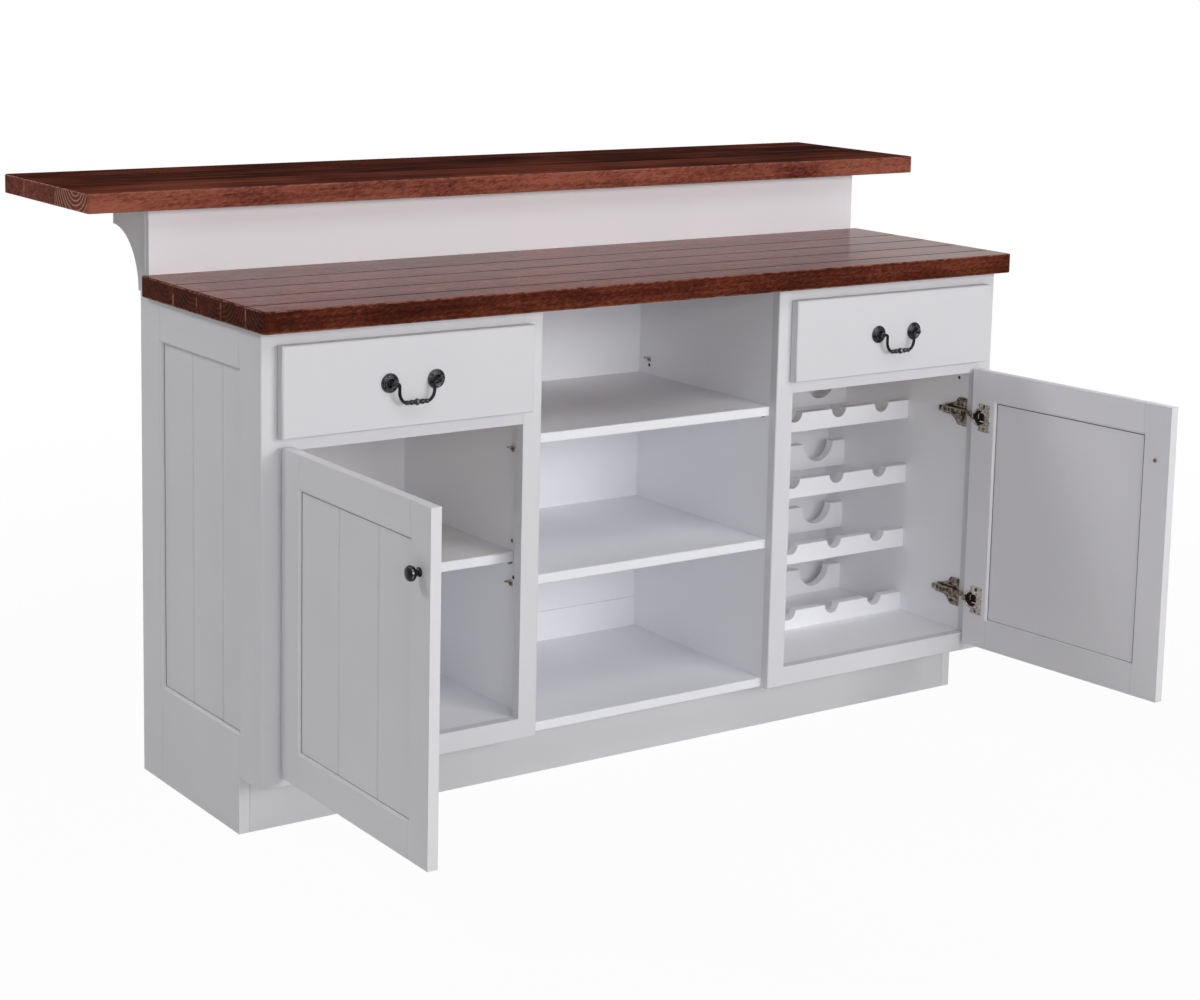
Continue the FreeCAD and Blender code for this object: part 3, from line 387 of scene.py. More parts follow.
def makeCherryTop(name, look):
    # varnish lies over bare stained wood as a coat: thin on edges, thick on top
    values = {"Specular IOR Level": 0.0, "Coat Roughness": cherryTop["varnishRoughness"]}
    material, tree, shader, board = newFinish(name, values)
    facing = addNode(tree, "ShaderNodeNewGeometry").outputs["Normal"]
    normal = addNode(tree, "ShaderNodeSeparateXYZ", {0: facing}).outputs
    upward = spread(tree, normal["Z"], 0.5, 0.98)
    lowAngle = addNode(tree, "ShaderNodeLayerWeight", {"Blend": 0.5}).outputs["Facing"]
    varnish = spread(tree, lowAngle, 0.55, 0.88, *look["varnish"])
    coat = spread(tree, upward, 0, 1, cherryTop["sideVarnish"], varnish)
    # painted shade in the seams: faces marked below zero take the near-black seam colour and lose their varnish
    seamShade = times(tree, board["Edge"], -0.94, clamp=True)
    tree.links.new(times(tree, coat, maths(tree, "SUBTRACT", 1.0, seamShade)), shader.inputs["Coat Weight"])
    figure = figureOf(tree, board, cherryTop)
    patina = patinaOf(tree, board, cherryTop, maths(tree, "MAXIMUM", board["Edge"], 0.0))
    tone = maths(tree, "MULTIPLY_ADD", board["Tone"], cherryTop["boardTone"], -cherryTop["boardTone"] / 2)
    blotch = times(tree, patina["Blotch"], cherryTop["blotches"])
    grain = maths(tree, "MULTIPLY_ADD", figure["Streaks"], cherryTop["streaks"], blotch)
    grain = plus(tree, maths(tree, "MULTIPLY_ADD", figure["Rings"], cherryTop["rings"], grain), tone)
    topStainAndLight = ramp(tree, grain, tuple(zip(cherryTop["topStops"], look["top"])))
    plain = times(tree, grain, 1 - cherryTop["ripples"])
    mottle = maths(tree, "MULTIPLY_ADD", figure["Ripples"], cherryTop["ripples"], plain)
    sideStainAndLight = ramp(tree, mottle, tuple(zip(cherryTop["sideStops"], look["side"])))
    # growth rings show as pale lines on the sawn ends, most on the board that has its heart there
    endGrain = spread(tree, maths(tree, "ABSOLUTE", normal["X"]), 0.9, 0.98)
    shown = spread(tree, board["Tone"], 0.85, 0.95, 0.10, 0.95)
    ringLines = times(tree, times(tree, endGrain, spread(tree, figure["Rings"], 0.45, 0.85)), shown)
    dark = look["side"][0]
    sideStainAndLight = blendColors(tree, times(tree, endGrain, look["endShade"]), sideStainAndLight, dark)
    sideStainAndLight = blendColors(tree, ringLines, sideStainAndLight, cherryTop["ringLine"])
    # tops against sides: partly face and edge grain, partly painted light (painted sheen on the counter's top and
    # the bar's sides, painted shade on the bar's top)
    color = blendColors(tree, upward, sideStainAndLight, topStainAndLight)
    color = blendColors(tree, times(tree, figure["Pores"], cherryTop["poreShade"]), color, dark)
    # worn colour on softened edges, strongest at the seams' ends: partly wear, partly a painted highlight
    worn = times(tree, patina["Worn Edge"], cherryTop["wear"], clamp=True)
    color = blendColors(tree, worn, color, cherryTop["worn"])
    color = blendColors(tree, seamShade, color, cherryTop["seamShade"])
    dents = times(tree, figure["Pores"], cherryTop["poreDepth"])
    finishOff(tree, shader, board, color, cherryTop, dents=dents)
    return material


drawerMaple = {
    "dark": (0.44, 0.30, 0.17, 1),
    "light": (0.70, 0.54, 0.36, 1),
    "figure": {"Ring Spacing": 0.009, "Heart Depth": 0.06, "Warp": 0.03},
    # how much the streaks, rings and each board's own tone add to the grain, and how dark the pores are
    "streaks": 0.7,
    "rings": -0.18,
    "boardTone": 0.2,
    "poreShade": 0.25,
    "roughness": (0.38, 0.5),
    "film": (160.0, 1.0, 0.12, 0.0004),
}


def makeDrawerMaple():
    material, tree, shader, board = newFinish("drawerMaple", {"Specular IOR Level": 0.4})
    figure = figureOf(tree, board, drawerMaple)
    rings = times(tree, figure["Rings"], drawerMaple["rings"])
    grain = maths(tree, "MULTIPLY_ADD", figure["Streaks"], drawerMaple["streaks"], rings)
    grain = plus(tree, grain, times(tree, board["Tone"], drawerMaple["boardTone"]))
    color = ramp(tree, grain, ((0.15, drawerMaple["dark"]), (0.5, drawerMaple["light"])))
    pores = times(tree, figure["Pores"], drawerMaple["poreShade"])
    color = blendColors(tree, pores, color, drawerMaple["dark"])
    finishOff(tree, shader, board, color, drawerMaple)
    return material


metals = {
    # color, blotch color and rubbed edge color; on the bronze and the nickel the rubbed edge color is partly real
    # wear and partly painted glints
    "darkBronze": {
        "colors": ((0.012, 0.011, 0.014, 1), (0.024, 0.022, 0.025, 1), (0.24, 0.23, 0.25, 1)),
        "roughness": (0.15, 0.28),
        "film": (900.0, 0.4, 0.16, 0.0002),
    },
    "nickelPlate": {
        "colors": ((0.38, 0.315, 0.245, 1), (0.050, 0.036, 0.026, 1), (0.92, 0.88, 0.82, 1)),
        "roughness": (0.14, 0.30),
        "film": (500.0, 0.4, 0.06, 0.0002),
    },
    "zincPlate": {
        "colors": ((0.56, 0.58, 0.60, 1), (0.47, 0.48, 0.50, 1), (0.68, 0.69, 0.70, 1)),
        "roughness": (0.30, 0.46),
        "film": (700.0, 0.4, 0.08, 0.0002),
    },
    # painted shade for the dark inside of holes, slots, recesses and gaps, which isn't metal
    "boredShade": {
        "colors": ((0.020, 0.019, 0.018, 1), (0.035, 0.032, 0.030, 1), (0.10, 0.095, 0.09, 1)),
        "roughness": (0.6, 0.8),
        "film": (400.0, 0.4, 0.2, 0.0002),
    },
    "patina": {"Blotch Scale": 120.0, "Edge Scale": 420.0},
    "metallic": 0.92,
}


def makeMetal(name):
    look = metals[name]
    color, blotchColor, edgeWearAndGlintColor = look["colors"]
    values = {"Metallic": 0.0 if name == "boredShade" else metals["metallic"]}
    material, tree, shader, board = newFinish(name, values)
    patina = patinaOf(tree, board, metals, board["Edge"])
    mixed = blendColors(tree, spread(tree, patina["Blotch"], 0.42, 0.62), color, blotchColor)
    # the rubbed edges take the edge colour: wear, and on bronze and nickel painted glints
    mixed = blendColors(tree, patina["Worn Edge"], mixed, edgeWearAndGlintColor)
    finishOff(tree, shader, board, mixed, look, gloss=patina["Blotch"])
    return material


finishes = {
    "white_paint": makeWhitePaint("whitePaint", whitePaint["paintedLightLooks"]["outside"]),
    "cherry_top": makeCherryTop("cherryCounterPaintedLight", cherryTop["counter"]),
    "drawer_maple": makeDrawerMaple(),
    "dark_bronze": makeMetal("darkBronze"),
    "nickel": makeMetal("nickelPlate"),
    "zinc": makeMetal("zincPlate"),
}
cherryBarPaintedLight = makeCherryTop("cherryBarPaintedLight", cherryTop["bar"])
# lit and shaded copies of the white paint: painted light for the bays and the doors, painted shade for the toe
# board
paintedLightCopies = {
    look: makeWhitePaint(look + "Paint", whitePaint["paintedLightLooks"][look])
    for look in ("door", "inside", "toe")
}
boredShade = makeMetal("boredShade")
print("finishes made:", ", ".join(finishes))


# which body and finish each node has
bodyOf = {
    nodeName: bodyName
    for bodyName, nodeNames in frame["record"]["behaviour"]["bodies"].items()
    for nodeName in nodeNames
}
# the first of these found in a node's name gives its finish, and white paint is the rest
finishWords = {
    "bar_planks": "cherry_top",
    "counter_planks": "cherry_top",
    "drawer_box": "drawer_maple",
    "drawer_bottom": "drawer_maple",
    "pull": "dark_bronze",
    "knob": "dark_bronze",
    "hinge": "nickel",
    "shelf_pins": "nickel",
    "runners": "zinc",
}


def finishOf(nodeName):
    return next((finish for word, finish in finishWords.items() if word in nodeName), "white_paint")


def turned(degrees, axis):
    return Matrix.Rotation(math.radians(degrees), 4, axis)


def doorOpening(side):
    # turns a door from shut to where it stands open
    joint = joints[side + "_door_hinge"]
    low, high = joint["range_deg"]
    shut = high if abs(high) > abs(low) else low
    pivot = Matrix.Translation(Vector(joint["pos_m"]))
    return pivot @ turned(-shut, "Z") @ pivot.inverted()


sides = (("left", -1), ("right", 1))  # each side and its way along X
opening = {side: doorOpening(side) for side, _ in sides}


# mesh helpers; every point carries its place on its board and a tone, which is 0 until it is marked
micro = 1e-6  # corners are matched as whole millionths of a metre


def newMesh():
    mesh = bmesh.new()
    mesh.verts.layers.float_vector.new("boardPlace")
    mesh.verts.layers.float.new("boardTone")
    mesh.faces.layers.float.new("softEdge")
    return mesh


def layersOf(mesh):
    verts, faces = mesh.verts.layers, mesh.faces.layers
    return verts.float_vector["boardPlace"], verts.float["boardTone"], faces.float["softEdge"]


def unmarked(mesh):
    toneLayer = layersOf(mesh)[1]
    return [v for v in mesh.verts if v[toneLayer] == 0.0]


def markPlain(mesh):
    # a turned, swept or bent part takes its place from where it stands
    placeLayer, toneLayer, _ = layersOf(mesh)
    for v in unmarked(mesh):
        v[placeLayer], v[toneLayer] = v.co, 0.5


def markBoard(mesh, heart=None):
    # a board takes its place from its middle, and one with a heart shows its rings
    placeLayer, toneLayer, _ = layersOf(mesh)
    verts = unmarked(mesh)
    low, high = spanOf([v.co for v in verts])
    size, middle = high - low, (low + high) / 2
    order = sorted(range(3), key=lambda i: -size[i])
    offset = Vector((dice.uniform(0, 9), dice.uniform(-0.05, 0.05), dice.uniform(-0.02, 0.03)))
    tone = max(dice.uniform(0, 0.84), 0.001)
    if heart:
        offset, tone = Vector((offset.x, *heart)), 1.0
    for v in verts:
        local = v.co - middle
        v[placeLayer] = Vector([local[i] for i in order]) + offset
        v[toneLayer] = tone


def spanOf(points):
    return [Vector([pick(point[i] for point in points) for i in range(3)]) for pick in (min, max)]


def showPiece(mesh, name, finish, body, replaced=(), pose=None, sharp=40, material=None, weighted=False):
    data = bpy.data.meshes.new(name)
    mesh.normal_update()
    mesh.to_mesh(data)
    mesh.free()
    if pose:
        data.transform(pose)
    data.shade_smooth()
    data.set_sharp_from_angle(angle=math.radians(sharp))
    data.materials.append(material or finishes[finish])
    piece = bpy.data.objects.new(name, data)
    scene.collection.objects.link(piece)
    if weighted:
        normals = piece.modifiers.new("evenNormals", "WEIGHTED_NORMAL")
        normals.keep_sharp = True
    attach(piece, body)
    if replaced:
        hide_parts(*replaced)


def solidsOf(nodeName):
    # splits a node's triangles into its closed solids, which follow one another in its mesh
    data = frame["nodes"][nodeName].data
    loose, group, groups = set(), [], []
    for face in data.polygons:
        corners = [tuple(round(c / micro) for c in data.vertices[i].co) for i in face.vertices]
        group.append(corners)
        for first, second in zip(corners, corners[1:] + corners[:1]):
            if (second, first) in loose:
                loose.remove((second, first))
            else:
                loose.add((first, second))
        if not loose:
            groups.append(group)
            group = []
    if group:
        groups.append(group)
    return groups


def addSolid(mesh, solid, pose):
    # one solid from its triangles, with those that lie in one plane joined
    corners = {
        corner: mesh.verts.new(pose @ (Vector(corner) * micro))
        for corner in dict.fromkeys(corner for triangle in solid for corner in triangle)
    }
    for triangle in solid:
        if len(set(triangle)) == 3:
            mesh.faces.new([corners[corner] for corner in triangle])
    verts = list(corners.values())
    mesh.normal_update()
    edges = list({edge for v in verts for edge in v.link_edges})
    bmesh.ops.dissolve_limit(
        mesh, verts=verts, edges=edges,
        angle_limit=math.radians(boards["flatAngle"]), use_dissolve_boundaries=False,
    )
    return [v for v in verts if v.is_valid]


def soften(mesh, verts, width, steps=2, leastLength=0.0, leastAngle=25):
    # rounds over the long sharp edges of one solid, and marks the narrow faces that makes
    inside = set(verts)
    edges = [
        e for e in mesh.edges
        if e.verts[0] in inside and len(e.link_faces) == 2
        and e.calc_length() > leastLength and e.calc_face_angle(0) > math.radians(leastAngle)
    ]
    made = bmesh.ops.bevel(
        mesh, geom=edges, offset=width, offset_type="OFFSET", segments=steps,
        profile=0.5, affect="EDGES", clamp_overlap=True,
    )
    edgeLayer = layersOf(mesh)[2]
    for face in made["faces"]:
        face[edgeLayer] = 1.0


def skinRings(mesh, rings, wears, closed=False):
    # joins rings of points into a surface; a ring of one point is a middle
    edgeLayer = layersOf(mesh)[2]
    markPlain(mesh)
    steps = max(len(ring) for ring in rings)
    last = len(rings) if closed else len(rings) - 1
    for index in range(last):
        low, high = rings[index], rings[(index + 1) % len(rings)]
        wear = (wears[index] + wears[(index + 1) % len(rings)]) / 2
        for step in range(steps):
            pairs = ((low, step), (low, step + 1), (high, step + 1), (high, step))
            corners = list(dict.fromkeys(ring[place % len(ring)] for ring, place in pairs))
            if len(corners) > 2:
                mesh.faces.new(corners)[edgeLayer] = wear


def addLathe(mesh, profile, pose, steps=40):
    # turns (radius, height, wear) points round Z, from a middle to a middle, then puts the result in place
    rings = []
    for radius, height, _ in profile:
        angles = [2 * math.pi * step / steps for step in range(steps)] if radius > micro else [0]
        points = [Vector((radius * math.cos(angle), radius * math.sin(angle), height)) for angle in angles]
        rings.append([mesh.verts.new(pose @ point) for point in points])
    skinRings(mesh, rings, [wear for _, _, wear in profile])


def addSweep(mesh, points, radii, wears, pose, steps=20):
    # runs a round section of changing radius along points that lie in one plane, its normal Y
    rings = []
    normal = Vector((0, 1, 0))
    for index, point in enumerate(points):
        before, after = points[max(index - 1, 0)], points[min(index + 1, len(points) - 1)]
        across = normal.cross((Vector(after) - Vector(before)).normalized()).normalized()
        ring = []
        for step in range(steps):
            angle = 2 * math.pi * step / steps
            off = across * math.cos(angle) + normal * math.sin(angle)
            ring.append(mesh.verts.new(pose @ (Vector(point) + off * radii[index])))
        rings.append(ring)
    skinRings(mesh, rings, wears)
    mesh.faces.new(rings[0])
    mesh.faces.new(rings[-1][::-1])


def extrude(mesh, outline, direction):
    # a plate of the outline's shape, pushed along a direction
    bottom = [mesh.verts.new(Vector(point)) for point in outline]
    top = [mesh.verts.new(Vector(point) + Vector(direction)) for point in outline]
    made = [mesh.faces.new(bottom[::-1]), mesh.faces.new(top)]
    for step in range(len(outline)):
        after = (step + 1) % len(outline)
        made.append(mesh.faces.new((bottom[step], bottom[after], top[after], top[step])))
    bmesh.ops.recalc_face_normals(mesh, faces=made)
    return bottom + top


def addPrism(mesh, outline, direction, width=0.0003):
    soften(mesh, extrude(mesh, outline, direction), width)
    markPlain(mesh)


def quarter(steps):
    # the angles of a quarter turn in equal steps, without its start
    return [math.pi / 2 * step / steps for step in range(1, steps + 1)]


# painted boards, drawer boxes, runners and hinge arms, softened from the fitted solids
boards = {
    "edgeRadius": {"white_paint": 0.0007, "drawer_maple": 0.0006, "zinc": 0.0003, "nickel": 0.0004},
    "jointRadius": 0.0010,
    "steps": 2,
    # edges shorter or flatter than this stay sharp
    "leastLength": 0.0045,
    "leastAngle": 28,
    # faces that meet at less than this are joined
    "flatAngle": 0.6,
    "madeElsewhere": ("bar_planks", "counter_planks", "shelf_pins", "left_hinge_cups", "right_hinge_cups"),
}


# a node's lit or shaded copy of the white paint: painted light in the bays and on the doors, painted shade on the
# toe board
def paintedLightCopyOf(nodeName):
    if nodeName in whitePaint["paintedLightInsides"]:
        return paintedLightCopies["inside"]
    if nodeName == "toe_kick_board":
        return paintedLightCopies["toe"]
    return paintedLightCopies["door"] if nodeName.endswith(("_door_frame", "_door_panel")) else None


def makeBoards(nodeName):
    # doors are made shut, so that their boards lie square, and then opened
    finish, body = finishOf(nodeName), bodyOf[nodeName]
    pose = opening[nodeName.split("_")[0]] if body.endswith("_door") else Matrix.Identity(4)
    framed = nodeName.endswith("_frame") and "face" not in nodeName
    radius = boards["jointRadius"] if framed else boards["edgeRadius"][finish]
    mesh = newMesh()
    for solid in solidsOf(nodeName):
        verts = addSolid(mesh, solid, pose.inverted())
        soften(mesh, verts, radius, boards["steps"], boards["leastLength"], boards["leastAngle"])
        markBoard(mesh)
    name, material = nodeName + "_shown", paintedLightCopyOf(nodeName)
    showPiece(mesh, name, finish, body, (nodeName,), pose, material=material, weighted=True)


for nodeName in sorted(frame["nodes"]):
    if nodeName not in boards["madeElsewhere"] and finishOf(nodeName) != "dark_bronze":
        makeBoards(nodeName)
print("boards, boxes, runners and hinge arms made")


# painted shade: dark strips in the gaps round the panels and down their grooves
gaps = {
    "width": 0.0016,
    "footWidth": 0.0006,
    "grooveWidth": 0.0012,
    "grooveDepth": 0.0019,
    # how far a groove's strip stops short of its ends
    "grooveEnd": 0.0005,
    # a strip round a panel starts this far inside its face
    "sunk": 0.0004,
    "thick": 0.0006,
    "soft": 0.0001,
    # the panels' boards, from one groove to the next
    "endBoard": 0.115,
    "rearBoard": 0.105,
    "doorBoard": 0.127,
}


def addGaps(mesh, corner, across, out, height, grooves):
    # four mitred strips of painted shade round an opening whose low corner and width are given, narrower along its
    # foot, and one down each groove
    wide, side, out = across.length, across.normalized(), Vector(out)
    gap, foot, half, thick = gaps["width"], gaps["footWidth"], gaps["grooveWidth"] / 2, gaps["thick"]
    outer = [(0, 0), (wide, 0), (wide, height), (0, height)]
    inner = [(gap, foot), (wide - gap, foot), (wide - gap, height - gap), (gap, height - gap)]
    strips = [((outer[i], outer[(i + 1) % 4], inner[(i + 1) % 4], inner[i]), gaps["sunk"]) for i in range(4)]
    low, high = gaps["grooveEnd"], height - gaps["grooveEnd"]
    for middle in grooves:
        outline = ((middle - half, low), (middle + half, low), (middle + half, high), (middle - half, high))
        strips.append((outline, gaps["grooveDepth"] + thick))
    for outline, depth in strips:
        points = [corner + side * a + Vector((0, 0, up)) - out * depth for a, up in outline]
        addPrism(mesh, points, out * thick, gaps["soft"])


def panelsOf(nodeName, pose):
    # the low corner and the size of each panel of a node, as it lies with its door shut
    found = []
    shut = pose.inverted()
    for solid in solidsOf(nodeName):
        low, high = spanOf([shut @ (Vector(corner) * micro) for triangle in solid for corner in triangle])
        found.append((low, high - low))
    return found


def makePanelGaps():
    mesh = newMesh()
    board = gaps["endBoard"]
    for low, size in panelsOf("end_panels", Matrix.Identity(4)):
        way = 1 if low.x > 0 else -1
        face = Vector((size.x if way > 0 else 0, 0, 0))
        grooves = [size.y - board, size.y - 2 * board]
        addGaps(mesh, low + face, Vector((0, size.y, 0)), (way, 0, 0), size.z, grooves)
    board = gaps["rearBoard"]
    for low, size in panelsOf("rear_panels", Matrix.Identity(4)):
        middle = size.x / 2
        face, across = Vector((0, size.y, 0)), Vector((size.x, 0, 0))
        addGaps(mesh, low + face, across, (0, 1, 0), size.z, [middle - board, middle, middle + board])
    showPiece(mesh, "panel_gaps", "white_paint", "cabinet", material=boredShade)


def makeDoorGaps(side, way):
    mesh = newMesh()
    low, size = panelsOf(side + "_door_panel", opening[side])[0]
    board = gaps["doorBoard"]
    grooves = [board, 2 * board] if way < 0 else [size.x - board, size.x - 2 * board]
    across = Vector((size.x, 0, 0))
    addGaps(mesh, low, across, (0, -1, 0), size.z, grooves)
    addGaps(mesh, low + Vector((0, size.y, 0)), across, (0, 1, 0), size.z, [])
    door = side + "_door"
    showPiece(mesh, door + "_gaps", "white_paint", door, pose=opening[side], material=boredShade)


makePanelGaps()
for side, way in sides:
    makeDoorGaps(side, way)
print("panel gaps made")


# planks of the worktop and the bar
planks = {
    "counterSeams": (-0.2005, -0.109, -0.0175, 0.074),
    "barSeams": (0.3055, 0.4495),
    # how far the rings' heart lies off the middle of a board whose end shows them
    "hearts": {("bar_planks", 0): (0.016, 0.012)},
    "cornerRadius": 0.006,
    "cornerSteps": 5,
    "edgeRadius": 0.0025,
    "edgeSteps": 3,
    "leastAngle": 50,
    # softened edges this near the front and back aren't seams
    "rim": 0.004,
    # a softened edge runs along a seam, or upright at its end, if its normal has less than this that way
    "sideways": 0.3,
    # marks for painted shade along a seam, and for wear with a painted highlight where a seam comes out at an end
    "seamShadeEdge": -1.0,
    "endWearHighlight": 2.4,
}


def plankOutline(low, high, roundFront, roundBack):
    radius, steps = planks["cornerRadius"], planks["cornerSteps"]
    corners = (
        (low.x, low.y, 1, 1, roundFront, math.pi),
        (high.x, low.y, -1, 1, roundFront, 1.5 * math.pi),
        (high.x, high.y, -1, -1, roundBack, 0),
        (low.x, high.y, 1, -1, roundBack, 0.5 * math.pi),
    )
    points = []
    for x, y, inX, inY, rounded, start in corners:
        if not rounded:
            points.append((x, y, low.z))
            continue
        for angle in [start, *(start + turn for turn in quarter(steps))]:
            middleX, middleY = x + inX * radius, y + inY * radius
            points.append((middleX + radius * math.cos(angle), middleY + radius * math.sin(angle), low.z))
    return points


def paintSeamShadeAndHighlight(mesh, low, high):
    # along a seam the softened edge takes painted shade; where the seam comes out at an end it takes the worn
    # colour strongly, as wear and a painted highlight
    edgeLayer = layersOf(mesh)[2]
    mesh.normal_update()
    for face in mesh.faces:
        front, back = low.y + planks["rim"], high.y - planks["rim"]
        if face[edgeLayer] > 0 and front < face.calc_center_median().y < back:
            if abs(face.normal.x) < planks["sideways"]:
                face[edgeLayer] = planks["seamShadeEdge"]
            elif abs(face.normal.z) < planks["sideways"]:
                face[edgeLayer] = planks["endWearHighlight"]


def makePlanks(nodeName, seams, material=None):
    low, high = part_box(nodeName)
    lines = [low.y, *seams, high.y]
    mesh = newMesh()
    for index, (front, back) in enumerate(zip(lines, lines[1:])):
        roundBack = back == high.y and nodeName == "bar_planks"
        plankLow, plankHigh = Vector((low.x, front, low.z)), Vector((high.x, back, high.z))
        outline = plankOutline(plankLow, plankHigh, index == 0, roundBack)
        verts = extrude(mesh, outline, (0, 0, high.z - low.z))
        mesh.normal_update()
        soften(mesh, verts, planks["edgeRadius"], planks["edgeSteps"], leastAngle=planks["leastAngle"])
        markBoard(mesh, planks["hearts"].get((nodeName, index)))
    paintSeamShadeAndHighlight(mesh, low, high)
    name, body = nodeName + "_shown", bodyOf[nodeName]
    showPiece(mesh, name, "cherry_top", body, (nodeName,), sharp=60, material=material, weighted=True)


makePlanks("counter_planks", planks["counterSeams"])
makePlanks("bar_planks", planks["barSeams"], cherryBarPaintedLight)
print("planks made")


# drawer pulls
pull = {
    "spacing": 0.090,
    "reach": 0.014,
    "drop": 0.0335,
    "arm": 0.034,
    # the elbow's radius, and how far the foot of the bail curves in over what height
    "elbow": 0.0045,
    "bend": (0.0150, 0.0190),
    "barRadius": 0.0028,
    # points of the straight grip on each side of its middle, a millimetre apart
    "gripPoints": 18,
    # leaf-like swellings on each side of the bead: from, to and share of the swell
    "leaves": ((0.0064, 0.0150, 1.0), (0.0150, 0.0235, 0.8)),
    "leafSwell": 0.0022,
    "thinned": 0.86,
    "beadRadius": 0.0060,
    "beadHalf": 0.0045,
    # radius, height and wear from the bead's outer end in to its ball
    "beadEnd": (
        (0, 0.0068, 0), (0.0026, 0.0066, 0), (0.0036, 0.0060, 1), (0.0036, 0.0050, 0), (0.0028, 0.0046, 0),
    ),
    # turned rings of a rosette from the rim in: outer and inner radius, height at the foot and at the crown
    "rings": (
        (0.0170, 0.0140, 0.0012, 0.0026),
        (0.0138, 0.0108, 0.0018, 0.0036),
        (0.0106, 0.0076, 0.0028, 0.0050),
    ),
    # radius and height of the neck between the rings and the ball
    "neck": ((0.0060, 0.0044), (0.0044, 0.0060), (0.0034, 0.0082)),
    "ballRadius": 0.0048,
}


def rosetteProfile():
    edge = pull["rings"][0][0]
    profile = [(0, 0, 0), (edge - 0.0004, 0, 0), (edge, 0.0006, 1)]
    for outer, inner, foot, crown in pull["rings"]:
        for step in range(7):
            share = step / 6
            height = foot + (crown - foot) * math.sin(math.pi * share) ** 0.7
            # the crests take the rubbed edge colour: wear, and painted glints on the rings
            profile.append((outer + (inner - outer) * share, height, 1 if 1 < step < 5 else 0))
    profile += [(radius, height, 0) for radius, height in pull["neck"]]
    ball = pull["ballRadius"]
    for step in range(3, 17):
        angle = math.pi * step / 16
        height = pull["reach"] - ball * math.cos(angle)
        profile.append((ball * math.sin(angle), height, 1 if 5 < step < 11 else 0))
    return profile


def beadProfile():
    end = pull["beadEnd"]
    profile = [(radius, -height, wear) for radius, height, wear in end]
    for step in range(1, 12):
        angle = math.pi * step / 12
        radius = max(pull["beadRadius"] * math.sin(angle), pull["barRadius"])
        profile.append((radius, -pull["beadHalf"] * math.cos(angle), 1 if 3 < step < 9 else 0))
    return profile + list(end[::-1])


def bailPath():
    arm, elbow, drop = pull["arm"], pull["elbow"], pull["drop"]
    bend, rise = pull["bend"]
    path = [(-pull["spacing"] / 2, 0, 0), (-arm - elbow, 0, 0)]
    for angle in quarter(5):
        path.append((elbow * math.sin(angle) - elbow - arm, 0, elbow * math.cos(angle) - elbow))
    path.append((-arm, 0, rise - drop))
    for angle in quarter(12):
        path.append((bend - bend * math.cos(angle) - arm, 0, rise - rise * math.sin(angle) - drop))
    grip = [(x / 1000, 0, -drop) for x in range(-pull["gripPoints"], pull["gripPoints"] + 1)]
    return path + grip + [(-x, y, z) for x, y, z in reversed(path)]


def bailRadius(x, z):
    base, away = pull["barRadius"], abs(x)
    if z > -pull["drop"] * 0.72:
        return base
    for start, end, share in pull["leaves"]:
        if start < away < end:
            swell = math.sin(math.pi * (away - start) / (end - start)) ** 0.8
            return base * pull["thinned"] + pull["leafSwell"] * share * swell
    return base * pull["thinned"] if away < pull["leaves"][0][0] else base


def pullMiddle(side):
    low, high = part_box(side + "_pull_mounts")
    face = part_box(side + "_drawer_front")[0].y
    return Vector(((low.x + high.x) / 2, face, (low.z + high.z) / 2))


def makePull(side):
    middle, drawer = pullMiddle(side), side + "_drawer"
    rosettes = newMesh()
    for direction in (-1, 1):
        spot = Matrix.Translation(middle + Vector((direction * pull["spacing"] / 2, 0, 0)))
        addLathe(rosettes, rosetteProfile(), spot @ turned(90, "X"))
    showPiece(rosettes, side + "_pull_rosettes", "dark_bronze", drawer, (side + "_pull_mounts",), sharp=50)

    bail = newMesh()
    path = bailPath()
    radii = [bailRadius(x, z) for x, _, z in path]
    wears = [0.3 if radius > pull["barRadius"] * 1.2 else 0.0 for radius in radii]
    pose = Matrix.Translation(middle - Vector((0, pull["reach"], 0)))
    addSweep(bail, path, radii, wears, pose)
    addLathe(bail, beadProfile(), pose @ Matrix.Translation((0, 0, -pull["drop"])) @ turned(90, "Y"), 28)
    showPiece(bail, side + "_bail", "dark_bronze", side + "_bail", (side + "_pull_bail",), sharp=50)


for side, _ in sides:
    makePull(side)
print("pulls made")


# door knobs
knob = {
    "spot": (0.331, -0.254, 0.5795),
    "baseRadius": 0.0075,
    "baseThick": 0.0016,
    "neckRadius": 0.0036,
    "neckLength": 0.0062,
    "headRadius": 0.0126,
    "headThick": 0.0120,
    # from the head's start: where the flare under it begins, how far it runs, and where the widest rim is
    "flareStart": -0.0035,
    "flareLength": 0.0085,
    "rim": 0.0050,
    "reach": 0.0235,
}


def knobProfile():
    base, thick, neck, head = knob["baseRadius"], knob["baseThick"], knob["neckRadius"], knob["headRadius"]
    profile = [(0, 0, 0), (base - 0.0006, 0, 0), (base, 0.0005, 1), (base, thick, 0)]
    for share in [step / 7 for step in range(1, 8)]:
        bulge = 0.5 + 0.5 * math.cos(math.pi * share)
        profile.append((neck + (base - neck) * bulge, thick + knob["neckLength"] * share, 0))
    start = knob["reach"] - knob["headThick"]
    for share in [step / 8 for step in range(1, 9)]:
        height = start + knob["flareStart"] + knob["flareLength"] * share ** 1.6
        profile.append((neck + (head - neck) * math.sin(math.pi / 2 * share), height, 0))
    rim = start + knob["rim"]
    for step, angle in enumerate(quarter(11)):
        height = rim + (knob["reach"] - rim) * math.sin(angle)
        profile.append((head * math.cos(angle) ** 0.75, height, 1 if step < 2 else 0))
    return profile


def makeKnob(side, way):
    x, y, z = knob["spot"]
    mesh = newMesh()
    addLathe(mesh, knobProfile(), opening[side] @ Matrix.Translation((way * x, y, z)) @ turned(90, "X"), 48)
    showPiece(mesh, side + "_knob", "dark_bronze", side + "_door", (side + "_door_knob",), sharp=50)


for side, way in sides:
    makeKnob(side, way)
print("knobs made")


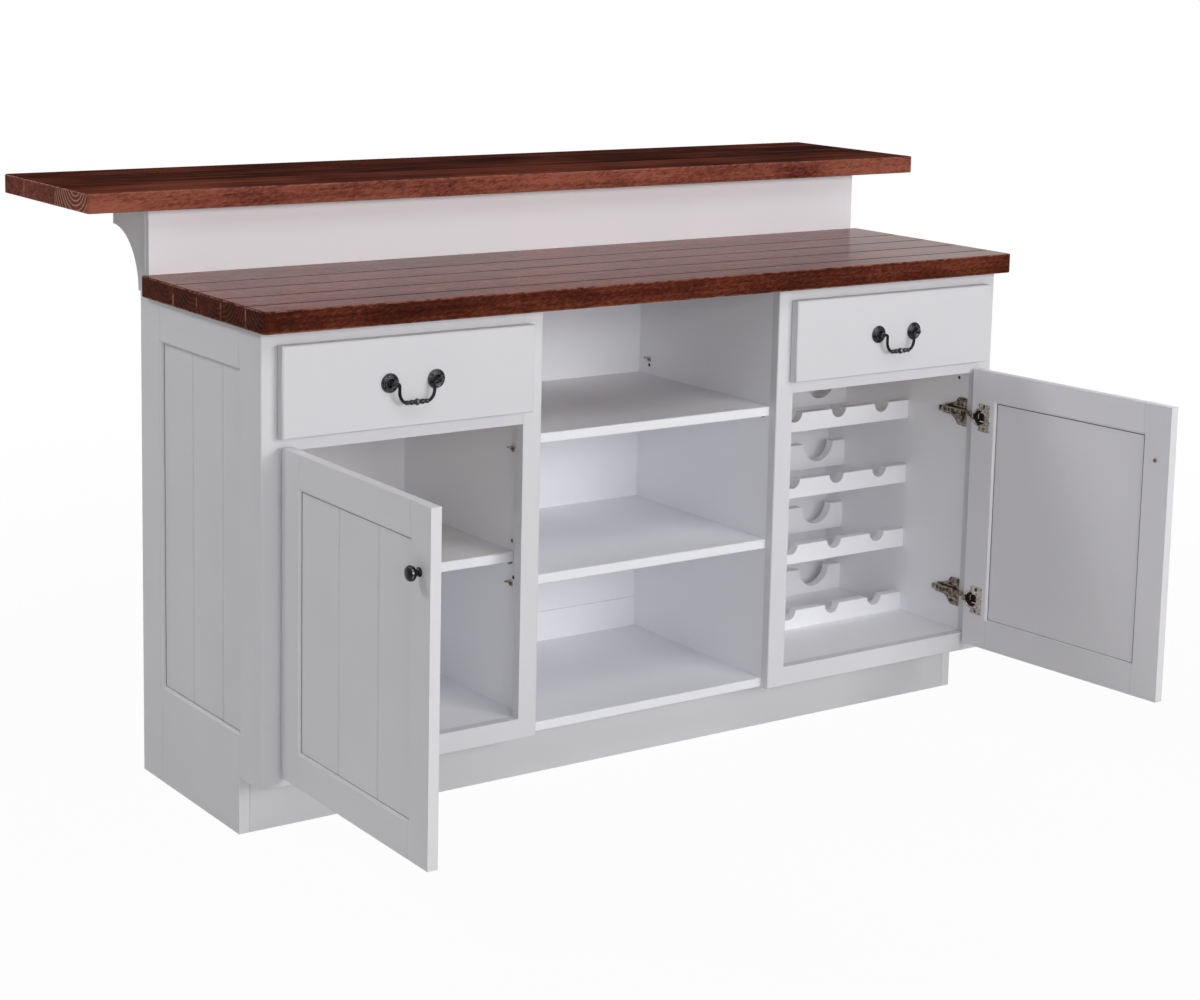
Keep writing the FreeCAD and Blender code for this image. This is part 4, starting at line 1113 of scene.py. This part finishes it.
# screws
screws = {
    # radius and height of each kind of head
    "knob": (0.0046, 0.0024),
    "pull": (0.0042, 0.0022),
    "cup": (0.0036, 0.0014),
    "plate": (0.0036, 0.0014),
    "arm": (0.0030, 0.0010),
    # shares of the height where the dome starts and where the recess lies, and of the radius for its arms
    "domeStart": 0.25,
    "recessHeights": (0.84, 1.04),
    "recessArms": (0.55, 0.15),
}
doorBack = -0.235  # y of the back of the shut doors
drawerBack = -0.222  # y of the back of the drawer fronts


def panHead(radius, height):
    # a low domed head, from its seat to its crown
    foot = height * screws["domeStart"]
    dome = [(radius * math.cos(angle), foot + (height - foot) * math.sin(angle), 0) for angle in quarter(5)]
    return [(0, 0, 0), (radius, 0, 0), (radius, foot, 1), *dome]


def addCross(mesh, pose, radius, height):
    # the driver's recess, as a dark cross of painted shade let into the crown
    (low, high), (long, thin) = screws["recessHeights"], screws["recessArms"]
    for turn in (0, 90):
        place = pose @ turned(turn, "Z") @ Matrix.Translation((0, 0, height * (low + high) / 2))
        size = Matrix.Diagonal((2 * radius * long, 2 * radius * thin, height * (high - low), 1))
        bmesh.ops.create_cube(mesh, size=1, matrix=place @ size)
    markPlain(mesh)


def makeScrews(name, body, spots, direction, kind, pose=None):
    # screw heads at the spots, facing a direction, with their recesses as a second piece in painted shade
    radius, height = screws[kind]
    facing = Vector(direction).to_track_quat("Z", "Y").to_matrix().to_4x4()
    heads = newMesh()
    crosses = newMesh()
    for index, spot in enumerate(spots):
        place = Matrix.Translation(spot) @ facing @ Matrix.Rotation(0.4 + 1.1 * index, 4, "Z")
        addLathe(heads, panHead(radius, height), place, 24)
        addCross(crosses, place, radius, height)
    showPiece(heads, name, "nickel", body, pose=pose, sharp=50)
    showPiece(crosses, name + "_recess_shade", "nickel", body, pose=pose, material=boredShade)


for side, way in sides:
    x, _, z = knob["spot"]
    spots = [(way * x, doorBack, z)]
    makeScrews(side + "_knob_screw", side + "_door", spots, (0, 1, 0), "knob", opening[side])
    x, _, z = pullMiddle(side)
    spots = [(x + end * pull["spacing"] / 2, drawerBack, z) for end in (-1, 1)]
    makeScrews(side + "_pull_screws", side + "_drawer", spots, (0, 1, 0), "pull")
print("screws made")


# door hinges
hinge = {
    "levels": (0.2165, 0.5885),
    "cupCentre": 0.7605,
    "plugRadius": 0.0174,
    "plugDepth": 0.0166,
    "rimRadius": 0.0180,
    "bowlRadius": 0.0143,
    "bowlDepth": 0.0159,
    # the flange's own wall reaches this far into the door, and the bowl goes on from there
    "root": 0.0012,
    "slotReach": 0.0162,
    "slotHalf": 0.0058,
    # the flange's ears: away from the hinge side, toward it, and half their height
    "ears": (-0.0270, 0.0015, 0.0278),
    "flange": 0.0015,
    "pivot": (0.0130, -0.0125),
    "pinRadius": 0.0015,
    # the sprung barrels beside the arm and the cam between them, from the cup's middle
    "barrel": (0.0088, -0.0085, 0.0095),
    "coils": 5,
    "coilPitch": 0.0028,
    "cam": (0.0115, -0.0050),
    # across and up from the cup's and the plate's middle to their screws, and from the front to the arm's
    "cupScrews": (-0.0128, 0.0225),
    "plateScrews": (0.0125, 0.0188),
    "armScrews": (0.0160, 0.0370),
    "carcass": -0.213,
    "plateFace": 0.7735,
    "housingFace": 0.7637,
}


def plateCorners(start, end, low, high):
    return ((start, high), (end, high), (end, low), (start, low))


# plates of a hinge, and its slots as dark prisms of painted shade: the face they start from, thickness, softened
# edge, which ways up, and the corners as y behind the cabinet's front and height over the middle
hingeParts = {
    "plates": (
        # the winged plate
        (0.7754, 0.0023, 0.0003, (1,), (
            (0.0008, 0.0285), (0.0230, 0.0285), (0.0260, 0.0262), (0.0330, 0.0175),
            (0.0490, 0.0122), (0.0640, 0.0085), (0.0640, -0.0085), (0.0460, -0.0095),
            (0.0330, -0.0175), (0.0260, -0.0262), (0.0230, -0.0285), (0.0008, -0.0285),
        )),
        # the pressed rib of each wing
        (0.7732, 0.0009, 0.0004, (-1, 1), (
            (0.0045, 0.0245), (0.0205, 0.0245), (0.0300, 0.0150), (0.0300, 0.0120), (0.0045, 0.0120),
        )),
        # the housing's lips
        (hinge["housingFace"], 0.0010, 0.0003, (-1, 1), plateCorners(0.0072, 0.0576, 0.0058, 0.0074)),
        # the clip behind the housing
        (0.7705, 0.0060, 0.0006, (1,), (
            (0.0580, 0.0060), (0.0690, 0.0060), (0.0712, 0.0040),
            (0.0712, -0.0040), (0.0690, -0.0060), (0.0580, -0.0060),
        )),
    ),
    # dark prisms of painted shade where the housing's slots and the gap under the arm are
    "slotShade": (
        *(
            (hinge["housingFace"] + 0.0002, 0.0004, 0.0001, (1,), plateCorners(start, end, -half, half))
            for start, end, half in (
                (0.0300, 0.0440, 0.0036), (0.0115, 0.0205, 0.0030), (0.0505, 0.0555, 0.0022),
            )
        ),
        # the shaded gap between the arm and its plate
        (0.7732, 0.0003, 0.0001, (-1, 1), plateCorners(0.0060, 0.0590, 0.0076, 0.0088)),
    ),
}


def reachOfBox(angle, low, high, half):
    # how far a ray from the cup's middle runs inside a box round it
    across, up = math.cos(angle), math.sin(angle)
    reaches = []
    if abs(across) > 1e-9:
        reaches.append((high if across > 0 else low) / across)
    if abs(up) > 1e-9:
        reaches.append(half / abs(up))
    return min(reaches)


def cupOutlines():
    # turns round the cup, and how far the plug, the flange's rim and the bowl reach at each
    low, high, half = hinge["ears"]
    slotReach, slotHalf = hinge["slotReach"], hinge["slotHalf"]
    turns = {2 * math.pi * step / 64 for step in range(64)}
    for x, z in ((low, half), (high, half), (slotReach, slotHalf)):
        turns |= {math.atan2(z, x) % (2 * math.pi), math.atan2(-z, x) % (2 * math.pi)}
    turns = sorted(turns)
    plug = [hinge["plugRadius"]] * len(turns)
    rim = [max(hinge["rimRadius"], reachOfBox(turn, low, high, half)) for turn in turns]
    bowl = [max(hinge["bowlRadius"], reachOfBox(turn, -0.001, slotReach, slotHalf)) for turn in turns]
    return turns, plug, rim, bowl


def skinCup(mesh, middle, way, turns, rows, closed=False):
    # each row is an outline round the cup, how far it is widened, its height and its wear
    rings = []
    for radii, widened, height, _ in rows:
        if not radii:
            rings.append([mesh.verts.new(middle + Vector((0, height, 0)))])
            continue
        ring = []
        for turn, radius in zip(turns, radii):
            across, up = math.cos(turn) * (radius + widened), math.sin(turn) * (radius + widened)
            ring.append(mesh.verts.new(middle + Vector((way * across, height, up))))
        rings.append(ring)
    skinRings(mesh, rings, [wear for *_, wear in rows], closed)


def addSprings(mesh, middle, way):
    # the pivot pin, the barrels on both sides of the arm, and the cam
    inward, deep = hinge["pivot"]
    length, pin = 2 * hinge["slotHalf"], hinge["pinRadius"]
    upright = Matrix.Translation(middle + Vector((way * inward, deep, -length / 2)))
    addLathe(mesh, [(0, 0, 0), (pin, 0, 0), (pin, length, 0), (0, length, 0)], upright, 20)
    inward, deep, lift = hinge["barrel"]
    coils = [(0, 0, 0), (0.0016, 0, 0)]
    for start in [hinge["coilPitch"] * coil for coil in range(hinge["coils"])]:
        coils += [(0.0026, 0.0010 + start, 1), (0.0019, 0.0024 + start, 0)]
    coils += [(0.0016, 0.0158, 0), (0, 0.0158, 0)]
    for up in (-lift, lift):
        barrel = Matrix.Translation(middle + Vector((-way * inward, deep, up)))
        addLathe(mesh, coils, barrel @ turned(90 * way, "Y"), 16)
    inward, deep = hinge["cam"]
    cam = [(0, 0, 0), (0.0019, 0, 0), (0.0019, 0.0050, 1), (0.0012, 0.0056, 0), (0, 0.0056, 0)]
    seat = Matrix.Translation(middle + Vector((-way * inward, deep, 0)))
    addLathe(mesh, cam, seat @ turned(-90, "X"), 18)


def makeHingeCups(side, way):
    turns, plug, rim, bowl = cupOutlines()
    thick, root = hinge["flange"], hinge["root"]
    flangeRows = [
        (plug, 0, -root, 0), (plug, 0, 0, 0), (rim, 0, 0, 0), (rim, 0, thick - 0.0005, 1),
        (rim, -0.0005, thick, 0.6), (bowl, 0.0013, thick, 1), (bowl, 0.0009, thick - 0.0006, 0),
        (bowl, 0.0003, thick - 0.0006, 1), (bowl, 0, thick - 0.0009, 0), (bowl, 0, -root, 0),
    ]
    bowlRows = [
        (None, 0, -hinge["plugDepth"], 0), (plug, 0, -hinge["plugDepth"], 0), (plug, 0, -root, 0),
        (bowl, 0, -root, 0), (bowl, 0, -hinge["bowlDepth"], 0), (None, 0, -hinge["bowlDepth"], 0),
    ]
    cups = newMesh()
    bowlShades = newMesh()
    springs = newMesh()
    for level in hinge["levels"]:
        middle = Vector((way * hinge["cupCentre"], doorBack, level))
        skinCup(cups, middle, way, turns, flangeRows, closed=True)
        skinCup(bowlShades, middle, way, turns, bowlRows)
        addSprings(springs, middle, way)
    for mesh in (cups, bowlShades, springs):
        bmesh.ops.recalc_face_normals(mesh, faces=mesh.faces[:])
    door, pose = side + "_door", opening[side]
    showPiece(cups, side + "_hinge_cups_shown", "nickel", door, (side + "_hinge_cups",), pose, 35)
    # the inside of the cup's bowl is painted shade
    showPiece(bowlShades, side + "_hinge_bowl_shade", "nickel", door, pose=pose, sharp=35, material=boredShade)
    showPiece(springs, side + "_hinge_springs", "nickel", door, pose=pose, sharp=50)
    across, lift = hinge["cupScrews"]
    x = way * (hinge["cupCentre"] + across)
    spots = [(x, doorBack + thick, level + up) for level in hinge["levels"] for up in (-lift, lift)]
    makeScrews(side + "_cup_screws", door, spots, (0, 1, 0), "cup", pose)


def makeHingePlates(side, way):
    front = hinge["carcass"]
    for name, sharp, material in (("plates", 35, None), ("slotShade", 40, boredShade)):
        mesh = newMesh()
        for level in hinge["levels"]:
            for face, thick, soft, flips, corners in hingeParts[name]:
                for flip in flips:
                    outline = [(way * face, front + y, level + flip * z) for y, z in corners]
                    addPrism(mesh, outline, (-way * thick, 0, 0), soft)
        showPiece(mesh, f"{side}_hinge_{name}", "nickel", "cabinet", sharp=sharp, material=material)
    across, lift = hinge["plateScrews"]
    wingX, armX = way * (hinge["plateFace"] - 0.0012), way * (hinge["housingFace"] - 0.0002)
    wings = [(wingX, front + across, level + up) for level in hinge["levels"] for up in (-lift, lift)]
    arms = [(armX, front + y, level) for level in hinge["levels"] for y in hinge["armScrews"]]
    makeScrews(side + "_plate_screws", "cabinet", wings, (-way, 0, 0), "plate")
    makeScrews(side + "_arm_screws", "cabinet", arms, (-way, 0, 0), "arm")


for side, way in sides:
    makeHingeCups(side, way)
    makeHingePlates(side, way)
print("hinges made")


# shelf pins, spare clips and holes
shelfPins = {
    "radius": 0.0025,
    "length": 0.016,
    "depth": 0.008,
    # x of the wall, its direction, y of the front and back pins, height of the shelf's underside
    "rows": (
        (0.265, -1, (-0.197, 0.1735), 0.631),
        (0.265, -1, (-0.197, 0.1735), 0.374),
        (-0.265, 1, (-0.197, 0.1735), 0.631),
        (-0.265, 1, (-0.197, 0.1735), 0.374),
        (-0.7755, 1, (-0.1725, 0.1735), 0.4125),
        (-0.284, -1, (-0.1725, 0.1735), 0.4125),
    ),
    # x of the wall, its direction, y and z
    "clips": (
        (0.265, -1, 0.1735, 0.683),
        (-0.284, -1, -0.1725, 0.620),
        (-0.284, -1, -0.1715, 0.375),
        (-0.284, -1, -0.1725, 0.137),
    ),
    "holes": (
        (0.265, -1, 0.1735, 0.668),
        (-0.284, -1, -0.1725, 0.450),
        (-0.284, -1, -0.1790, 0.384),
        (0.7755, -1, -0.1855, 0.656),
    ),
    "holeRadius": 0.0032,
    "clipReach": 0.013,
    "clipWidth": 0.010,
    # how far a clip's plate runs under and over its tab
    "clipHeights": (-0.008, 0.001),
    "clipThick": 0.0012,
    "tabThick": 0.0016,
    "tabChamfer": 0.002,
    "ribDrop": 0.0065,
}


def makeShelfPins():
    mesh = newMesh()
    radius, out = shelfPins["radius"], shelfPins["length"] - shelfPins["depth"]
    profile = [
        (0, -0.0004, 0), (radius, -0.0004, 0), (radius, out - 0.0010, 0),
        (radius * 0.8, out - 0.0002, 1), (radius * 0.45, out, 0), (0, out, 0),
    ]
    for x, way, rows, under in shelfPins["rows"]:
        for y in rows:
            addLathe(mesh, profile, Matrix.Translation((x, y, under - radius)) @ turned(90 * way, "Y"), 20)
    showPiece(mesh, "shelf_pins_shown", "nickel", "cabinet", ("shelf_pins",), sharp=50)


def makeShelfClips():
    # bent clips: a plate on the wall, a tab that would carry a shelf, and a rib under the tab
    mesh = newMesh()
    half, thick, chamfer = shelfPins["clipWidth"] / 2, shelfPins["clipThick"], shelfPins["tabChamfer"]
    low, high = shelfPins["clipHeights"]
    for x, way, y, z in shelfPins["clips"]:
        wall = ((-half, low), (half, low), (half, high), (-half, high))
        addPrism(mesh, [(x, y + across, z + up) for across, up in wall], (way * thick, 0, 0))
        start, reach = x + way * 0.0010, x + way * shelfPins["clipReach"]
        back = reach - way * chamfer
        tab = [
            (start, y - half, z), (start, y + half, z), (back, y + half, z),
            (reach, y + half - chamfer, z), (reach, y - half + chamfer, z), (back, y - half, z),
        ]
        addPrism(mesh, tab, (0, 0, shelfPins["tabThick"]))
        rib = [(start, y, z), (back - way * 0.001, y, z), (start, y, z - shelfPins["ribDrop"])]
        addPrism(mesh, rib, (0, thick, 0), width=0.0002)
    showPiece(mesh, "spare_shelf_clips", "nickel", "cabinet")


def makePinHoles():
    # dark discs of painted shade where the holes would be, with a thin raised rim
    mesh = newMesh()
    radius = shelfPins["holeRadius"]
    mouth = [
        (0, 0, 0), (radius + 0.0004, 0, 0), (radius + 0.0003, 0.00012, 1),
        (radius, 0.00014, 1), (radius * 0.9, 0.0001, 0), (0, 0.0001, 0),
    ]
    for x, way, y, z in shelfPins["holes"]:
        addLathe(mesh, mouth, Matrix.Translation((x, y, z)) @ turned(90 * way, "Y"), 20)
    showPiece(mesh, "spare_pin_hole_shade", "white_paint", "cabinet", sharp=50, material=boredShade)


makeShelfPins()
makeShelfClips()
makePinHoles()
print("shelf pins, clips and holes made")


# floor and background
def makeFloor():
    floorMesh = bmesh.new()
    half = studio["floorReach"]
    corners = [floorMesh.verts.new((x * half, y * half, 0)) for x, y in ((-1, -1), (1, -1), (1, 1), (-1, 1))]
    floorMesh.faces.new(corners)
    data = bpy.data.meshes.new("floor")
    floorMesh.to_mesh(data)
    floorMesh.free()
    floor = bpy.data.objects.new("floor", data)
    scene.collection.objects.link(floor)
    material = bpy.data.materials.new("paleFloor")
    material.use_nodes = True
    tree = material.node_tree
    tree.nodes.clear()
    diffuse = addNode(tree, "ShaderNodeBsdfDiffuse", {"Color": studio["floorColor"]})
    glow = addNode(tree, "ShaderNodeEmission", {"Color": (1, 1, 1, 1), "Strength": 1.0})
    place = addNode(tree, "ShaderNodeNewGeometry").outputs["Position"]
    distance = addNode(tree, "ShaderNodeVectorMath", {0: place}, operation="LENGTH").outputs["Value"]
    share = times(tree, plainRays(tree), spread(tree, distance, *studio["fade"], studio["floorGlow"], 1.0))
    mixed = addNode(tree, "ShaderNodeMixShader", {0: share, 1: diffuse.outputs[0], 2: glow.outputs[0]})
    addNode(tree, "ShaderNodeOutputMaterial", {"Surface": mixed.outputs[0]})
    data.materials.append(material)


def makeWorld():
    world = bpy.data.worlds.new("studioWorld")
    scene.world = world
    world.use_nodes = True
    tree = world.node_tree
    tree.nodes.clear()
    strength = spread(tree, plainRays(tree), 0, 1, studio["worldStrength"], 1.0)
    background = addNode(tree, "ShaderNodeBackground", {"Color": (1, 1, 1, 1), "Strength": strength})
    addNode(tree, "ShaderNodeOutputWorld", {"Surface": background.outputs[0]})


makeFloor()
makeWorld()
print("floor and background made")
